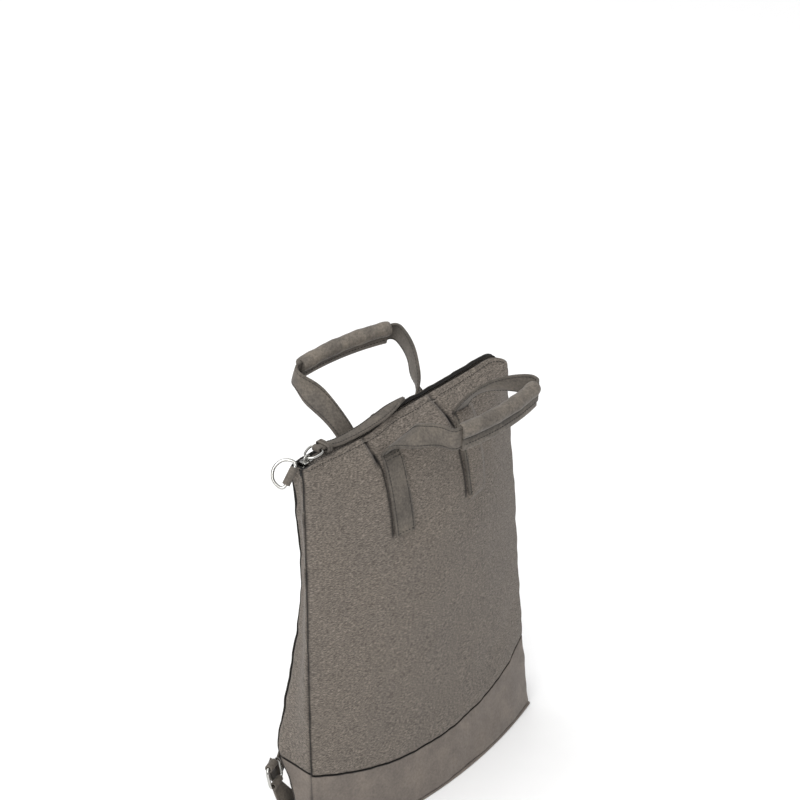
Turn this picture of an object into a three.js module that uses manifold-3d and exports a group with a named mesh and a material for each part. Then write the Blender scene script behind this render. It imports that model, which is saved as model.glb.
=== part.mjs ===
// Convertible backpack: a tall soft tote with two carrying handles, rings at its corners and a strap behind.
// Millimetres, +Z up, front towards -Y. The origin is the middle of the base, on the floor.
import * as THREE from 'three';
import { mergeVertices } from 'three/addons/utils/BufferGeometryUtils.js';
import Module from 'manifold-3d';

const wasm = await Module();
wasm.setup();

// Body
const HEIGHT = 400;
const BASE_WIDTH = 316;
const TOP_WIDTH = 278;
const SIDE_DEPTH = 56;
const CORNER_FORWARD = 25.5;
const TOP_SET_BACK = 4.3;
const FRONT_BULGE = 37;
const BACK_BULGE = 40;
const SIDE_FOLD = 2.5;
const BACK_INSET = 10;
const WALL_THICKNESS = 2;
const GAP = 0.45;
const BASE_THICKNESS = 2.4;
const SEAM_AT_SIDE = 84;
const SEAM_AT_MIDDLE = 55;
const CORNER_DROP_LEFT = 3;
const CORNER_DROP_RIGHT = 13;
const CORNER_RUN = 18;
const TOP_TUCK = 8;

// Shape up the height: each value is a share of the size in brackets.
// at [HEIGHT], front: how far the front seam has come from base to top, side [SIDE_DEPTH],
// belly [FRONT_BULGE], hump [BACK_BULGE], fold [SIDE_FOLD], inset [BACK_INSET]
const SECTIONS = [
  { at: 0.00, front: 0.00, side: 0.61, belly: 0.63, hump: 0.84, fold: 0.0, inset: 0.0 },
  { at: 0.12, front: 0.16, side: 0.46, belly: 0.57, hump: 0.98, fold: 0.0, inset: 0.0 },
  { at: 0.16, front: 0.20, side: 0.56, belly: 0.57, hump: 0.88, fold: 0.1, inset: 0.1 },
  { at: 0.20, front: 0.25, side: 0.76, belly: 0.58, hump: 0.62, fold: 0.2, inset: 0.2 },
  { at: 0.24, front: 0.29, side: 0.86, belly: 0.60, hump: 0.46, fold: 0.4, inset: 0.4 },
  { at: 0.30, front: 0.35, side: 0.81, belly: 0.66, hump: 0.44, fold: 0.5, inset: 0.7 },
  { at: 0.45, front: 0.50, side: 0.59, belly: 0.81, hump: 0.50, fold: 0.7, inset: 1.0 },
  { at: 0.70, front: 0.72, side: 0.33, belly: 1.00, hump: 0.45, fold: 1.0, inset: 1.0 },
  { at: 0.90, front: 0.90, side: 0.31, belly: 0.76, hump: 0.26, fold: 0.9, inset: 0.4 },
  { at: 0.96, front: 0.96, side: 0.31, belly: 0.52, hump: 0.12, fold: 0.7, inset: 0.2 },
  { at: 1.00, front: 1.00, side: 0.31, belly: 0.04, hump: -0.04, fold: 0.5, inset: 0.0 },
];

// The front wall is drawn back to the zip by TOP_TUCK above this share of HEIGHT: from u = left on it
// grows, is full at u = full, and fades from u = fade to the right corner
const TUCK = { from: 0.95, left: -0.42, full: -0.1, fade: 0.84 };

// Zip
const ZIP_SINK = 3;
const ZIP_SINK_CLOSED = 7.5;
const TAPE_THICKNESS = 1;
const TAPE_END = 12;
const COIL_WIDTH = 4.4;
const COIL_HEIGHT = 2.4;
const SLIDER_LENGTH = 13;
const SLIDER_WIDTH = 9;
const SLIDER_HEIGHT = 5.6;
const SLIDER_FROM_END = 13.6;
const BAIL_HEIGHT = 5.4;
const PULL_RING_INNER = 12;
const PULL_RING_WIRE = 2.2;
const PULL_RING_REACH = 14;
const PULL_WIDTH = 14;
const PULL_LENGTH = 114;
const PULL_THICKNESS = 1.6;
const KEEPER_WIDTH = 6;
const KEEPER_SLACK = 1.4;

// Handles
const STRAP_WIDTH = 22;
const STRAP_THICKNESS = 2.4;
const ANCHOR_SPACING = 96;
const GRIP_LENGTH = 100;
const GRIP_TUBE = 14;
const GRIP_HEIGHT = 26;
const GRIP_WALL = 1.3;
const CORNER_RADIUS = 8;

// Rings
const RING_WIRE = 3;
const RING_INNER = 20;
const RING_REACH = 17.5;
const D_RING_INNER = 22;
const D_RING_REACH = 15.5;
const TAB_WIDTH = 17;
const TAB_THICKNESS = 1.5;
const BORE_CLEARANCE = 0.35;

// Carrying strap
const CARRY_WIDTH = 20;
const CARRY_THICKNESS = 2;

const PAD = 0.5;
const FABRIC = 0x746d66;
const TRIM = 0x6c6962;
const DARK = 0x3b3733;
const SILVER = 0xc9c9c6;

const bag = new THREE.Group();

function vec(x, y, z) {
  return new THREE.Vector3(x, y, z);
}

function lerp(a, b, t) {
  return a + (b - a) * t;
}

function smooth(t) {
  const c = Math.min(1, Math.max(0, t));
  return c * c * (3 - 2 * c);
}

function add(name, geometry, color, roughness = 0.9, metalness = 0) {
  const mesh = new THREE.Mesh(geometry, new THREE.MeshStandardMaterial({ color, roughness, metalness }));
  mesh.name = name;
  bag.add(mesh);
}

// Geometry helpers

function volumeOf(points, faces) {
  let sum = 0;
  for (const [a, b, c] of faces) {
    sum += points[a].dot(points[b].clone().cross(points[c]));
  }
  return sum;
}

function solid(points, faces) {
  const flip = volumeOf(points, faces) < 0;
  const geometry = new THREE.BufferGeometry();
  const numbers = points.flatMap((p) => [p.x, p.y, p.z]);
  geometry.setAttribute('position', new THREE.Float32BufferAttribute(numbers, 3));
  geometry.setIndex(faces.flatMap(([a, b, c]) => (flip ? [a, c, b] : [a, b, c])));
  return geometry;
}

// A wall between two grids of points: outer(u, v) and inner(u, v), both with u and v from 0 to 1
function wall(outer, inner, across, up) {
  const points = [];
  const faces = [];
  const index = (side, i, j) => side * (across + 1) * (up + 1) + j * (across + 1) + i;
  for (const surface of [outer, inner]) {
    for (let j = 0; j <= up; j += 1) {
      for (let i = 0; i <= across; i += 1) points.push(surface(i / across, j / up));
    }
  }
  const quad = (a, b, c, d) => faces.push([a, b, c], [a, c, d]);
  for (let j = 0; j < up; j += 1) {
    for (let i = 0; i < across; i += 1) {
      quad(index(0, i, j), index(0, i + 1, j), index(0, i + 1, j + 1), index(0, i, j + 1));
      quad(index(1, i, j), index(1, i, j + 1), index(1, i + 1, j + 1), index(1, i + 1, j));
    }
  }
  for (let i = 0; i < across; i += 1) {
    quad(index(0, i, 0), index(1, i, 0), index(1, i + 1, 0), index(0, i + 1, 0));
    quad(index(0, i, up), index(0, i + 1, up), index(1, i + 1, up), index(1, i, up));
  }
  for (let j = 0; j < up; j += 1) {
    quad(index(0, 0, j), index(0, 0, j + 1), index(1, 0, j + 1), index(1, 0, j));
    quad(index(0, across, j), index(1, across, j), index(1, across, j + 1), index(0, across, j + 1));
  }
  return solid(points, faces);
}

// A section carried through stations; each station is { at, wide, thick } with two unit directions
function sweep(section, stations) {
  const points = [];
  const faces = [];
  const count = section.length;
  for (const s of stations) {
    for (const [w, t] of section) {
      points.push(s.at.clone().addScaledVector(s.wide, w).addScaledVector(s.thick, t));
    }
  }
  for (let j = 0; j + 1 < stations.length; j += 1) {
    for (let i = 0; i < count; i += 1) {
      const a = j * count + i;
      const b = j * count + ((i + 1) % count);
      faces.push([a, b, b + count], [a, b + count, a + count]);
    }
  }
  const cap = THREE.ShapeUtils.triangulateShape(section.map(([w, t]) => new THREE.Vector2(w, t)), []);
  const last = (stations.length - 1) * count;
  for (const [a, b, c] of cap) {
    faces.push([a, c, b], [last + a, last + b, last + c]);
  }
  return solid(points, faces);
}

function toManifold(geometry) {
  const bare = geometry.clone();
  bare.deleteAttribute('normal');
  bare.deleteAttribute('uv');
  const merged = mergeVertices(bare);
  return new wasm.Manifold(new wasm.Mesh({
    numProp: 3,
    vertProperties: new Float32Array(merged.attributes.position.array),
    triVerts: new Uint32Array(merged.index.array),
  }));
}

function fromManifold(body) {
  const mesh = body.getMesh();
  const geometry = new THREE.BufferGeometry();
  geometry.setAttribute('position', new THREE.Float32BufferAttribute(mesh.vertProperties, 3));
  geometry.setIndex([...mesh.triVerts]);
  return geometry;
}

function cut(body, ...tools) {
  return fromManifold(tools.reduce((left, tool) => left.subtract(toManifold(tool)), toManifold(body)));
}

function join(...parts) {
  return fromManifold(parts.map(toManifold).reduce((all, part) => all.add(part)));
}

// Body surface

const columns = {};
for (const key of Object.keys(SECTIONS[0])) columns[key] = SECTIONS.map((row) => row[key]);

function share(key, z) {
  const curve = new THREE.CubicInterpolant(columns.at, columns[key], 1);
  return curve.evaluate(Math.min(1, Math.max(0, z / HEIGHT)))[0];
}

function halfWidth(z) {
  return lerp(BASE_WIDTH, TOP_WIDTH, z / HEIGHT) / 2;
}

function frontSeam(z) {
  return lerp(-CORNER_FORWARD, TOP_SET_BACK, share('front', z));
}

function backSeam(z) {
  return frontSeam(z) + SIDE_DEPTH * share('side', z);
}

function inset(z) {
  return BACK_INSET * share('inset', z);
}

function topLine(u) {
  const drop = u < 0 ? CORNER_DROP_LEFT : CORNER_DROP_RIGHT;
  const into = Math.max(0, CORNER_RUN - (1 - Math.abs(u)) * TOP_WIDTH / 2) / CORNER_RUN;
  return HEIGHT - drop * (1 - Math.sqrt(1 - into * into * 0.98));
}

function seamLine(u) {
  return lerp(SEAM_AT_MIDDLE, SEAM_AT_SIDE, u * u);
}

function tuck(u, z) {
  const grown = smooth((u - TUCK.left) / (TUCK.full - TUCK.left));
  const faded = smooth((u - TUCK.fade) / (1 - TUCK.fade));
  return TOP_TUCK * (grown - faded) * smooth((z / HEIGHT - TUCK.from) / (1 - TUCK.from));
}

// Points of the front and back walls: u from -1 at the left seam to 1, depth 0 outside to 1 inside
function frontPoint(u, z, depth = 0) {
  const y = frontSeam(z) - FRONT_BULGE * share('belly', z) * (1 - u * u) + tuck(u, z);
  return vec(u * (halfWidth(z) - depth * WALL_THICKNESS), y + depth * WALL_THICKNESS, z);
}

function backPoint(u, z, depth = 0) {
  const y = backSeam(z) + BACK_BULGE * share('hump', z) * (1 - u * u);
  return vec(u * (halfWidth(z) - inset(z) - depth * WALL_THICKNESS), y - depth * WALL_THICKNESS, z);
}

// side is -1 for the left gusset and 1 for the right; t runs from the front seam to the back seam
function gussetPoint(side, t, z, depth = 0) {
  const mitre = depth * WALL_THICKNESS * (1 - 2 * t) ** 3;
  const y = lerp(frontSeam(z) + GAP, backSeam(z) - GAP, t) + mitre;
  const folded = inset(z) * smooth(t) + SIDE_FOLD * share('fold', z) * Math.sin(Math.PI * t) ** 2;
  return vec(side * (halfWidth(z) - folded - depth * WALL_THICKNESS), y, z);
}

const FLOOR_GAP = BASE_THICKNESS + GAP;
const ROW_CROWDING = 1.4;

// Rows crowd towards the top, where the walls lean to the zip
function bodyWall(name, point, low, high, across, up) {
  const surface = (depth) => (a, v) => point(a, lerp(low(a), high(a), 1 - (1 - v) ** ROW_CROWDING), depth);
  add(name, wall(surface(0), surface(1), across, up), FABRIC);
}

// Columns crowd towards the ends, so that the corners stay round
function spread(a) {
  return Math.sin((a - 0.5) * Math.PI * 0.86) / Math.sin(Math.PI * 0.43);
}

for (const [name, point, across, up] of [['front', frontPoint, 20, 18], ['back', backPoint, 14, 18]]) {
  const at = (a, z, depth) => point(spread(a), z, depth);
  bodyWall(`${name}_panel`, at, (a) => seamLine(spread(a)) + GAP / 2, (a) => topLine(spread(a)), across, up);
  bodyWall(`${name}_base_panel`, at, () => FLOOR_GAP, (a) => seamLine(spread(a)) - GAP / 2, across, 3);
}

for (const [name, side] of [['left', -1], ['right', 1]]) {
  const at = (t, z, depth) => gussetPoint(side, t, z, depth);
  bodyWall(`${name}_gusset`, at, () => SEAM_AT_SIDE + GAP / 2, () => topLine(side), 6, 18);
  bodyWall(`${name}_base_gusset`, at, () => FLOOR_GAP, () => SEAM_AT_SIDE - GAP / 2, 6, 3);
}

const baseOutline = new THREE.Shape();
for (let i = 0; i <= 16; i += 1) {
  const p = frontPoint(lerp(-1, 1, i / 16), 0);
  if (i === 0) baseOutline.moveTo(p.x, p.y);
  else baseOutline.lineTo(p.x, p.y);
}
for (let i = 0; i <= 12; i += 1) {
  const p = backPoint(lerp(1, -1, i / 12), 0);
  baseOutline.lineTo(p.x, p.y);
}
const bottom = new THREE.ExtrudeGeometry(baseOutline, { depth: BASE_THICKNESS, bevelEnabled: false });
add('bottom_panel', bottom, FABRIC);

// Rings and folded tabs

// A ring with one straight bar along local Y through the origin. Its other side lies towards local X,
// and each outline gives one half as shares of the reach and of half the width.
const BOW = [[0, 0.3], [0, 0.86], [0.13, 1], [0.45, 0.96], [0.8, 0.68], [1, 0]];
const FLAT = [[0, 0.3], [0, 0.8], [0.14, 1], [0.5, 1.03], [0.86, 1], [1, 0.8], [1, 0.3]];

function ring(inner, reach, steps, half = BOW, wire = RING_WIRE) {
  const mirror = half.filter(([, y]) => y > 0).map(([x, y]) => [x, -y]).reverse();
  const points = [...half, ...mirror].map(([x, y]) => vec(x * reach, y * (inner + wire) / 2, 0));
  const curve = new THREE.CatmullRomCurve3(points, true, 'centripetal');
  return new THREE.TubeGeometry(curve, steps, wire / 2, 6, true);
}

// A folded band round the ring's bar: an eye and a two-layer tongue towards local -X
function tab(tongue, width, thickness = TAB_THICKNESS) {
  const hole = RING_WIRE / 2 + BORE_CLEARANCE;
  const outer = hole + thickness;
  const half = thickness;
  const shape = new THREE.Shape();
  const start = Math.asin(half / outer);
  shape.moveTo(-tongue, -half);
  shape.lineTo(-outer * Math.cos(start), -half);
  shape.absarc(0, 0, outer, Math.PI + start, Math.PI - start, false);
  shape.lineTo(-tongue, half);
  shape.holes.push(new THREE.Path().absarc(0, 0, hole, 0, Math.PI * 2, true));
  const band = new THREE.ExtrudeGeometry(shape, { depth: width, bevelEnabled: false, curveSegments: 6 });
  band.translate(0, 0, -width / 2);
  band.rotateX(-Math.PI / 2);
  return band;
}

// Places local X along reach and local Y along bar
function oriented(geometry, at, reach, bar) {
  const y = bar.clone().normalize();
  const x = reach.clone().addScaledVector(y, -reach.dot(y)).normalize();
  const z = x.clone().cross(y);
  geometry.applyMatrix4(new THREE.Matrix4().makeBasis(x, y, z).setPosition(at));
  return geometry;
}

// Zip

const ZIP_HALF = TOP_WIDTH / 2 - TAPE_END;

// The zip lies deeper where the walls close over it
function zipHeight(x) {
  const u = x / (TOP_WIDTH / 2);
  const closed = smooth((u - TUCK.left) / (TUCK.full - TUCK.left) + 0.6);
  return topLine(u) - lerp(ZIP_SINK, ZIP_SINK_CLOSED, closed);
}

// Half way between the middle of the mouth and the middle of the room at the zip's own height
function zipLine(x) {
  const middle = (z) => (frontPoint(x / (TOP_WIDTH / 2), z, 1).y + backPoint(x / (TOP_WIDTH / 2), z, 1).y) / 2;
  return (middle(HEIGHT) + middle(zipHeight(x))) / 2;
}

function ribbon(from, to, yLow, yHigh, thickness, steps) {
  const at = (low) => (a, v) => {
    const x = lerp(from, to, a);
    return vec(x, lerp(yLow(x), yHigh(x), v), zipHeight(x) + (low ? -thickness / 2 : thickness / 2));
  };
  return wall(at(false), at(true), steps, 1);
}

const edgeOf = (point, sign) => (x) => (
  point(x / (TOP_WIDTH / 2), zipHeight(x) + TAPE_THICKNESS, 1).y + sign * GAP
);
const besideCoil = (sign) => (x) => zipLine(x) + sign * (COIL_WIDTH / 2 + GAP);
const tapeBand = (yLow, yHigh) => ribbon(-ZIP_HALF, ZIP_HALF, yLow, yHigh, TAPE_THICKNESS, 16);
add('zip_tape_front', tapeBand(edgeOf(frontPoint, 1), besideCoil(-1)), DARK);
add('zip_tape_back', tapeBand(besideCoil(1), edgeOf(backPoint, -1)), DARK);

const SLIDER_X = -TOP_WIDTH / 2 + SLIDER_FROM_END;
const COIL_START = SLIDER_X + 1;
const coilSide = (sign) => (x) => zipLine(x) + sign * COIL_WIDTH / 2;
add('zip_coil', ribbon(COIL_START, ZIP_HALF, coilSide(-1), coilSide(1), COIL_HEIGHT, 16), DARK);

function placed(geometry, x, y, z) {
  geometry.translate(x, y, z);
  return geometry;
}

const sliderY = zipLine(SLIDER_X);
const sliderZ = zipHeight(SLIDER_X);
const channelHeight = COIL_HEIGHT + 2 * GAP;
const sliderTop = sliderZ + SLIDER_HEIGHT / 2;
const BAIL_WIRE = 1.6;
const BAIL_SPAN = 9;
const bailHalf = BAIL_SPAN / 2;

function bailArch() {
  const foot = 0.6;
  const outer = new THREE.Shape();
  outer.moveTo(-bailHalf, -foot);
  outer.lineTo(-bailHalf, BAIL_HEIGHT - bailHalf);
  outer.absarc(0, BAIL_HEIGHT - bailHalf, bailHalf, Math.PI, 0, true);
  outer.lineTo(bailHalf, -foot);
  outer.lineTo(bailHalf - BAIL_WIRE, -foot);
  outer.absarc(0, BAIL_HEIGHT - bailHalf, bailHalf - BAIL_WIRE, 0, Math.PI, false);
  outer.lineTo(-bailHalf + BAIL_WIRE, -foot);
  const arch = new THREE.ExtrudeGeometry(outer, { depth: BAIL_WIRE, bevelEnabled: false, curveSegments: 6 });
  arch.translate(0, 0, -BAIL_WIRE / 2);
  arch.rotateX(Math.PI / 2);
  return placed(arch, SLIDER_X, sliderY, sliderTop);
}

const sliderBlock = placed(
  new THREE.BoxGeometry(SLIDER_LENGTH, SLIDER_WIDTH, SLIDER_HEIGHT),
  SLIDER_X, sliderY, sliderZ,
);
const channelLength = SLIDER_LENGTH / 2;
const coilChannel = placed(
  new THREE.BoxGeometry(channelLength, SLIDER_WIDTH * 2, channelHeight),
  COIL_START - GAP + channelLength / 2, sliderY, sliderZ,
);
const tapeChannels = [-1, 1].map((sign) => placed(
  new THREE.BoxGeometry(SLIDER_LENGTH * 2, SLIDER_WIDTH, TAPE_THICKNESS + 2 * GAP),
  SLIDER_X, sliderY + sign * (SLIDER_WIDTH / 2 + COIL_WIDTH / 2 + GAP / 2), sliderZ,
));
add('zip_slider', join(cut(sliderBlock, coilChannel, ...tapeChannels), bailArch()), SILVER, 0.2, 1);

// The pull ring leans up and to the right, with its left end under the bail
const RING_LEAN = 0.22;
const bailInside = sliderTop + BAIL_HEIGHT - BAIL_WIRE - GAP - PULL_RING_WIRE / 2;
const pullRingAlong = vec(Math.cos(RING_LEAN), 0, Math.sin(RING_LEAN));
const pullRingLeft = vec(SLIDER_X, sliderY, bailInside);
const pullEye = pullRingLeft.clone().addScaledVector(pullRingAlong, PULL_RING_REACH);
const pullRing = ring(PULL_RING_INNER, PULL_RING_REACH, 20, BOW, PULL_RING_WIRE);
const toLeft = pullRingAlong.clone().negate();
add('zip_pull_ring', oriented(pullRing, pullEye, toLeft, vec(0, 1, 0)), SILVER, 0.2, 1);

// Leather pull: a loop round the ring's right end, two layers to the keeper, then one long leaf
const eyeInner = PULL_RING_WIRE / 2 + GAP;
const eyeOuter = eyeInner + PULL_THICKNESS;
const LEAF_Z = HEIGHT + PAD + PULL_THICKNESS;

// The pull along its length: its width and how far it swerves, as shares of PULL_LENGTH and PULL_WIDTH
const LEAF = [
  { at: 0.0, width: 0.60, swerve: 0.0 }, { at: 0.1, width: 0.70, swerve: -0.07 },
  { at: 0.2, width: 0.78, swerve: -0.17 }, { at: 0.35, width: 0.83, swerve: -0.22 },
  { at: 0.5, width: 0.88, swerve: -0.18 }, { at: 0.65, width: 0.97, swerve: -0.06 },
  { at: 0.8, width: 0.92, swerve: 0.07 }, { at: 0.93, width: 0.55, swerve: 0.14 },
  { at: 1.0, width: 0.16, swerve: 0.16 },
];

function pullLoop() {
  const outline = new THREE.Shape();
  outline.absarc(0, 0, eyeOuter, 0, Math.PI * 2, false);
  outline.holes.push(new THREE.Path().absarc(0, 0, eyeInner, 0, Math.PI * 2, true));
  const width = LEAF[0].width * PULL_WIDTH;
  const eye = new THREE.ExtrudeGeometry(outline, { depth: width, bevelEnabled: false, curveSegments: 5 });
  eye.rotateX(Math.PI / 2);
  return placed(eye, pullEye.x, pullEye.y + width / 2, pullEye.z);
}

function pullLeaf() {
  const start = pullEye.x + eyeInner + PULL_THICKNESS * 0.4;
  const stations = LEAF.map((row) => {
    const y = pullEye.y + row.swerve * PULL_WIDTH;
    const z = lerp(pullEye.z, LEAF_Z, smooth(row.at * 5));
    return { at: vec(start + row.at * PULL_LENGTH, y, z), half: row.width * PULL_WIDTH / 2 };
  });
  const points = stations.flatMap(({ at, half }) => [-1, 1].flatMap((side) => [1, -1].map((top) => (
    vec(at.x, at.y + side * half, at.z + top * PULL_THICKNESS)
  ))));
  const faces = [];
  const ring = [0, 1, 3, 2];
  for (let j = 0; j + 1 < stations.length; j += 1) {
    for (let i = 0; i < 4; i += 1) {
      const a = j * 4 + ring[i];
      const b = j * 4 + ring[(i + 1) % 4];
      faces.push([a, b, b + 4], [a, b + 4, a + 4]);
    }
  }
  const last = (stations.length - 1) * 4;
  faces.push([0, 3, 1], [0, 2, 3], [last, last + 1, last + 3], [last, last + 3, last + 2]);
  return solid(points, faces);
}
const clearEye = new THREE.CylinderGeometry(eyeInner, eyeInner, PULL_WIDTH * 2, 20);
add('zip_pull', cut(join(pullLoop(), pullLeaf()), placed(clearEye, pullEye.x, pullEye.y, pullEye.z)), TRIM);

function keeper() {
  const x = pullEye.x + eyeOuter + KEEPER_WIDTH * 0.9;
  const inside = vec(KEEPER_WIDTH, PULL_WIDTH * 0.86 + 2 * GAP, PULL_THICKNESS * 2 + 2 * GAP + KEEPER_SLACK);
  const around = 2 * PULL_THICKNESS * 0.7;
  const band = new THREE.BoxGeometry(KEEPER_WIDTH, inside.y + around, inside.z + around);
  const hole = new THREE.BoxGeometry(KEEPER_WIDTH * 3, inside.y, inside.z);
  const z = lerp(pullEye.z, LEAF_Z, smooth(5 * (x - pullEye.x) / PULL_LENGTH));
  return cut(placed(band, x, pullEye.y, z), placed(hole, x, pullEye.y, z));
}
add('zip_pull_keeper', keeper(), TRIM);

// Handles

const strapHalf = STRAP_WIDTH / 2;
const strapFace = STRAP_THICKNESS / 2;
const strapSection = [
  [-strapHalf, -strapFace], [0, -strapFace], [strapHalf, -strapFace],
  [strapHalf, strapFace], [0, strapFace], [-strapHalf, strapFace],
];

// face is -1 on the front wall and 1 on the back. Heights and the grip's middle are shares of HEIGHT, its
// x of ANCHOR_SPACING. The grip runs along, and each leg comes to it in the direction of arrive.
// A leg leaves its patch by leave and swings by reach before the grip, both in strap widths; over its
// turned share it turns from flat on the wall, by way of through, to edge on.
const HANDLES = [
  {
    name: 'front_handle', face: -1, point: frontPoint, patchLow: 0.77, patchHigh: 0.96, arch: 0.38,
    middle: vec(0.067, -0.234, 1.076), along: vec(1, 0.003, 0.01), arrive: vec(0, -0.93, -0.025),
    legs: [
      { leave: vec(-0.11, -0.19, 0.82), reach: 0.66, turned: 0.72, through: vec(1.2, 0.31, 0.15) },
      { leave: vec(0.14, -0.69, 1.7), reach: 0.4, turned: 0.98, through: vec(-0.86, -1.51, 2.25) },
    ],
  },
  {
    name: 'back_handle', face: 1, point: backPoint, patchLow: 0.72, patchHigh: 0.915, arch: 0.29,
    middle: vec(-0.003, 0.2085, 1.075), along: vec(0.981, -0.186, 0.052), arrive: vec(0, 0.92, 0.364),
    legs: [
      { leave: vec(-0.06, 0.16, 1.37), reach: 0.4, turned: 0.98, through: vec(1.2, 0.34, 0.31) },
      { leave: vec(-0.28, 0.45, 1.7), reach: 1.4, turned: 0.6, through: vec(-0.3, -0.9, 0.4) },
    ],
  },
];

function patchStations(handle, x, steps) {
  const out = [];
  for (let i = 0; i <= steps; i += 1) {
    const height = HEIGHT * lerp(handle.patchLow, handle.patchHigh, i / steps);
    const on = (dx, z) => handle.point((x + dx) / handle.point(1, height).x, z);
    const wide = on(STRAP_WIDTH / 2, height).sub(on(-STRAP_WIDTH / 2, height)).normalize();
    const rise = on(0, height + 1).sub(on(0, height - 1)).normalize();
    const away = rise.cross(wide).multiplyScalar(handle.face * (PAD + GAP + STRAP_THICKNESS / 2));
    out.push({ at: on(0, height).add(away), wide });
  }
  return out;
}

function handlePath(handle) {
  const along = handle.along.clone().normalize();
  const arrive = handle.arrive.clone().addScaledVector(along, -handle.arrive.dot(along)).normalize();
  const edge = arrive.clone().cross(along).multiplyScalar(-1);
  if (edge.z < 0) edge.negate();
  const middle = handle.middle.clone().multiply(vec(ANCHOR_SPACING, HEIGHT, HEIGHT));
  const gripEnd = (sign) => middle.clone().addScaledVector(along, sign * GRIP_LENGTH / 2);
  const leg = (patch, sign, shape) => {
    const start = patch.at(-1).at;
    const corner = gripEnd(sign).addScaledVector(along, sign * (CORNER_RADIUS + 1));
    const stop = corner.clone().addScaledVector(arrive, -CORNER_RADIUS);
    const curve = new THREE.CubicBezierCurve3(
      start, start.clone().addScaledVector(shape.leave, STRAP_WIDTH),
      stop.clone().addScaledVector(arrive, -shape.reach * STRAP_WIDTH), stop,
    );
    const out = [];
    for (let i = 1; i <= 14; i += 1) {
      const turn = smooth(i / 14 / shape.turned);
      const wide = vec(-sign, 0, 0).multiplyScalar((1 - turn) ** 2);
      wide.addScaledVector(shape.through, 2 * turn * (1 - turn)).addScaledVector(edge, turn ** 2);
      out.push({ at: curve.getPoint(i / 14), wide: wide.normalize() });
    }
    const past = corner.clone().addScaledVector(along, -sign * CORNER_RADIUS);
    const bend = new THREE.QuadraticBezierCurve3(stop, corner, past);
    for (let i = 1; i <= 4; i += 1) out.push({ at: bend.getPoint(i / 4), wide: edge.clone() });
    return out;
  };
  const half = ANCHOR_SPACING / 2;
  const leftPatch = patchStations(handle, -half, 9);
  const rightPatch = patchStations(handle, half, 9);
  const leftLeg = leg(leftPatch, -1, handle.legs[0]);
  const rightLeg = leg(rightPatch, 1, handle.legs[1]);
  const sag = middle.clone().addScaledVector(arrive, 2 * handle.arch * GRIP_TUBE);
  const grip = new THREE.QuadraticBezierCurve3(gripEnd(-1), sag, gripEnd(1));
  const gripStations = [];
  for (let i = 0; i <= 8; i += 1) gripStations.push({ at: grip.getPoint(i / 8), wide: edge.clone() });
  const stations = [...leftPatch, ...leftLeg, ...gripStations, ...rightLeg.reverse()];
  for (const s of rightPatch.reverse()) stations.push({ at: s.at, wide: s.wide.clone().negate() });
  return { stations, gripStations };
}

// Works out each station's thickness direction from the way the path runs there
function framed(stations) {
  return stations.map((s, i) => {
    const before = stations[Math.max(0, i - 1)].at;
    const after = stations[Math.min(stations.length - 1, i + 1)].at;
    const tangent = after.clone().sub(before).normalize();
    const wide = s.wide.clone().addScaledVector(tangent, -s.wide.dot(tangent)).normalize();
    return { at: s.at, wide, thick: tangent.clone().cross(wide) };
  });
}

// The wrapped grip: a round tube along one edge of the strap and a flat lip along the other
function gripSection() {
  const radius = GRIP_TUBE / 2;
  const centre = GRIP_HEIGHT / 2 - radius;
  const lip = STRAP_THICKNESS / 2 + PAD + GRIP_WALL;
  const spreadAngle = Math.PI - Math.asin(lip / radius);
  const points = [];
  for (let i = 0; i <= 10; i += 1) {
    const angle = lerp(-spreadAngle, spreadAngle, i / 10);
    points.push([centre + radius * Math.cos(angle), radius * Math.sin(angle)]);
  }
  points.push([-GRIP_HEIGHT / 2 + 0.8, lip], [-GRIP_HEIGHT / 2, lip - 0.8]);
  points.push([-GRIP_HEIGHT / 2, -lip + 0.8], [-GRIP_HEIGHT / 2 + 0.8, -lip]);
  return points;
}

function gripHole() {
  const w = STRAP_WIDTH / 2 + PAD;
  const t = STRAP_THICKNESS / 2 + PAD;
  return [[-w, -t], [w, -t], [w, t], [-w, t]];
}

for (const handle of HANDLES) {
  const { stations, gripStations } = handlePath(handle);
  add(`${handle.name}_strap`, sweep(strapSection, framed(stations)), TRIM);
  const frames = framed(gripStations);
  const first = frames[0];
  const last = frames.at(-1);
  const past = (frame, toward, by) => ({ ...frame, at: frame.at.clone().lerp(toward.at, -by) });
  const long = [past(first, frames[1], 0.5), ...frames, past(last, frames.at(-2), 0.5)];
  add(`${handle.name}_grip`, cut(sweep(gripSection(), frames), sweep(gripHole(), long)), TRIM);
}

// Rings

// The D ring stands out from the left top corner on a short tab
const D_RING_OUT = 10;
const D_RING_BEHIND = 7.7;
const D_RING_DOWN = 4;
const D_RING_BAR = vec(-0.63, 0.03, -0.78);
const D_RING_BOW = vec(-0.43, 0.82, 0.38);
const D_TAB_OUT = vec(-0.78, 0, 0.63);
const D_TAB_TONGUE = 4.6;
const dRingZ = topLine(-1) - D_RING_DOWN;
const dRingX = gussetPoint(-1, 0.5, dRingZ).x - D_RING_OUT;
const dRingAt = vec(dRingX, TOP_SET_BACK + D_RING_BEHIND, dRingZ);
const dRing = ring(D_RING_INNER, D_RING_REACH, 26);
add('left_d_ring', oriented(dRing, dRingAt, D_RING_BOW, D_RING_BAR), SILVER, 0.2, 1);
add('left_d_ring_tab', oriented(tab(D_TAB_TONGUE, TAB_WIDTH), dRingAt, D_TAB_OUT, D_RING_BAR), TRIM);

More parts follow.
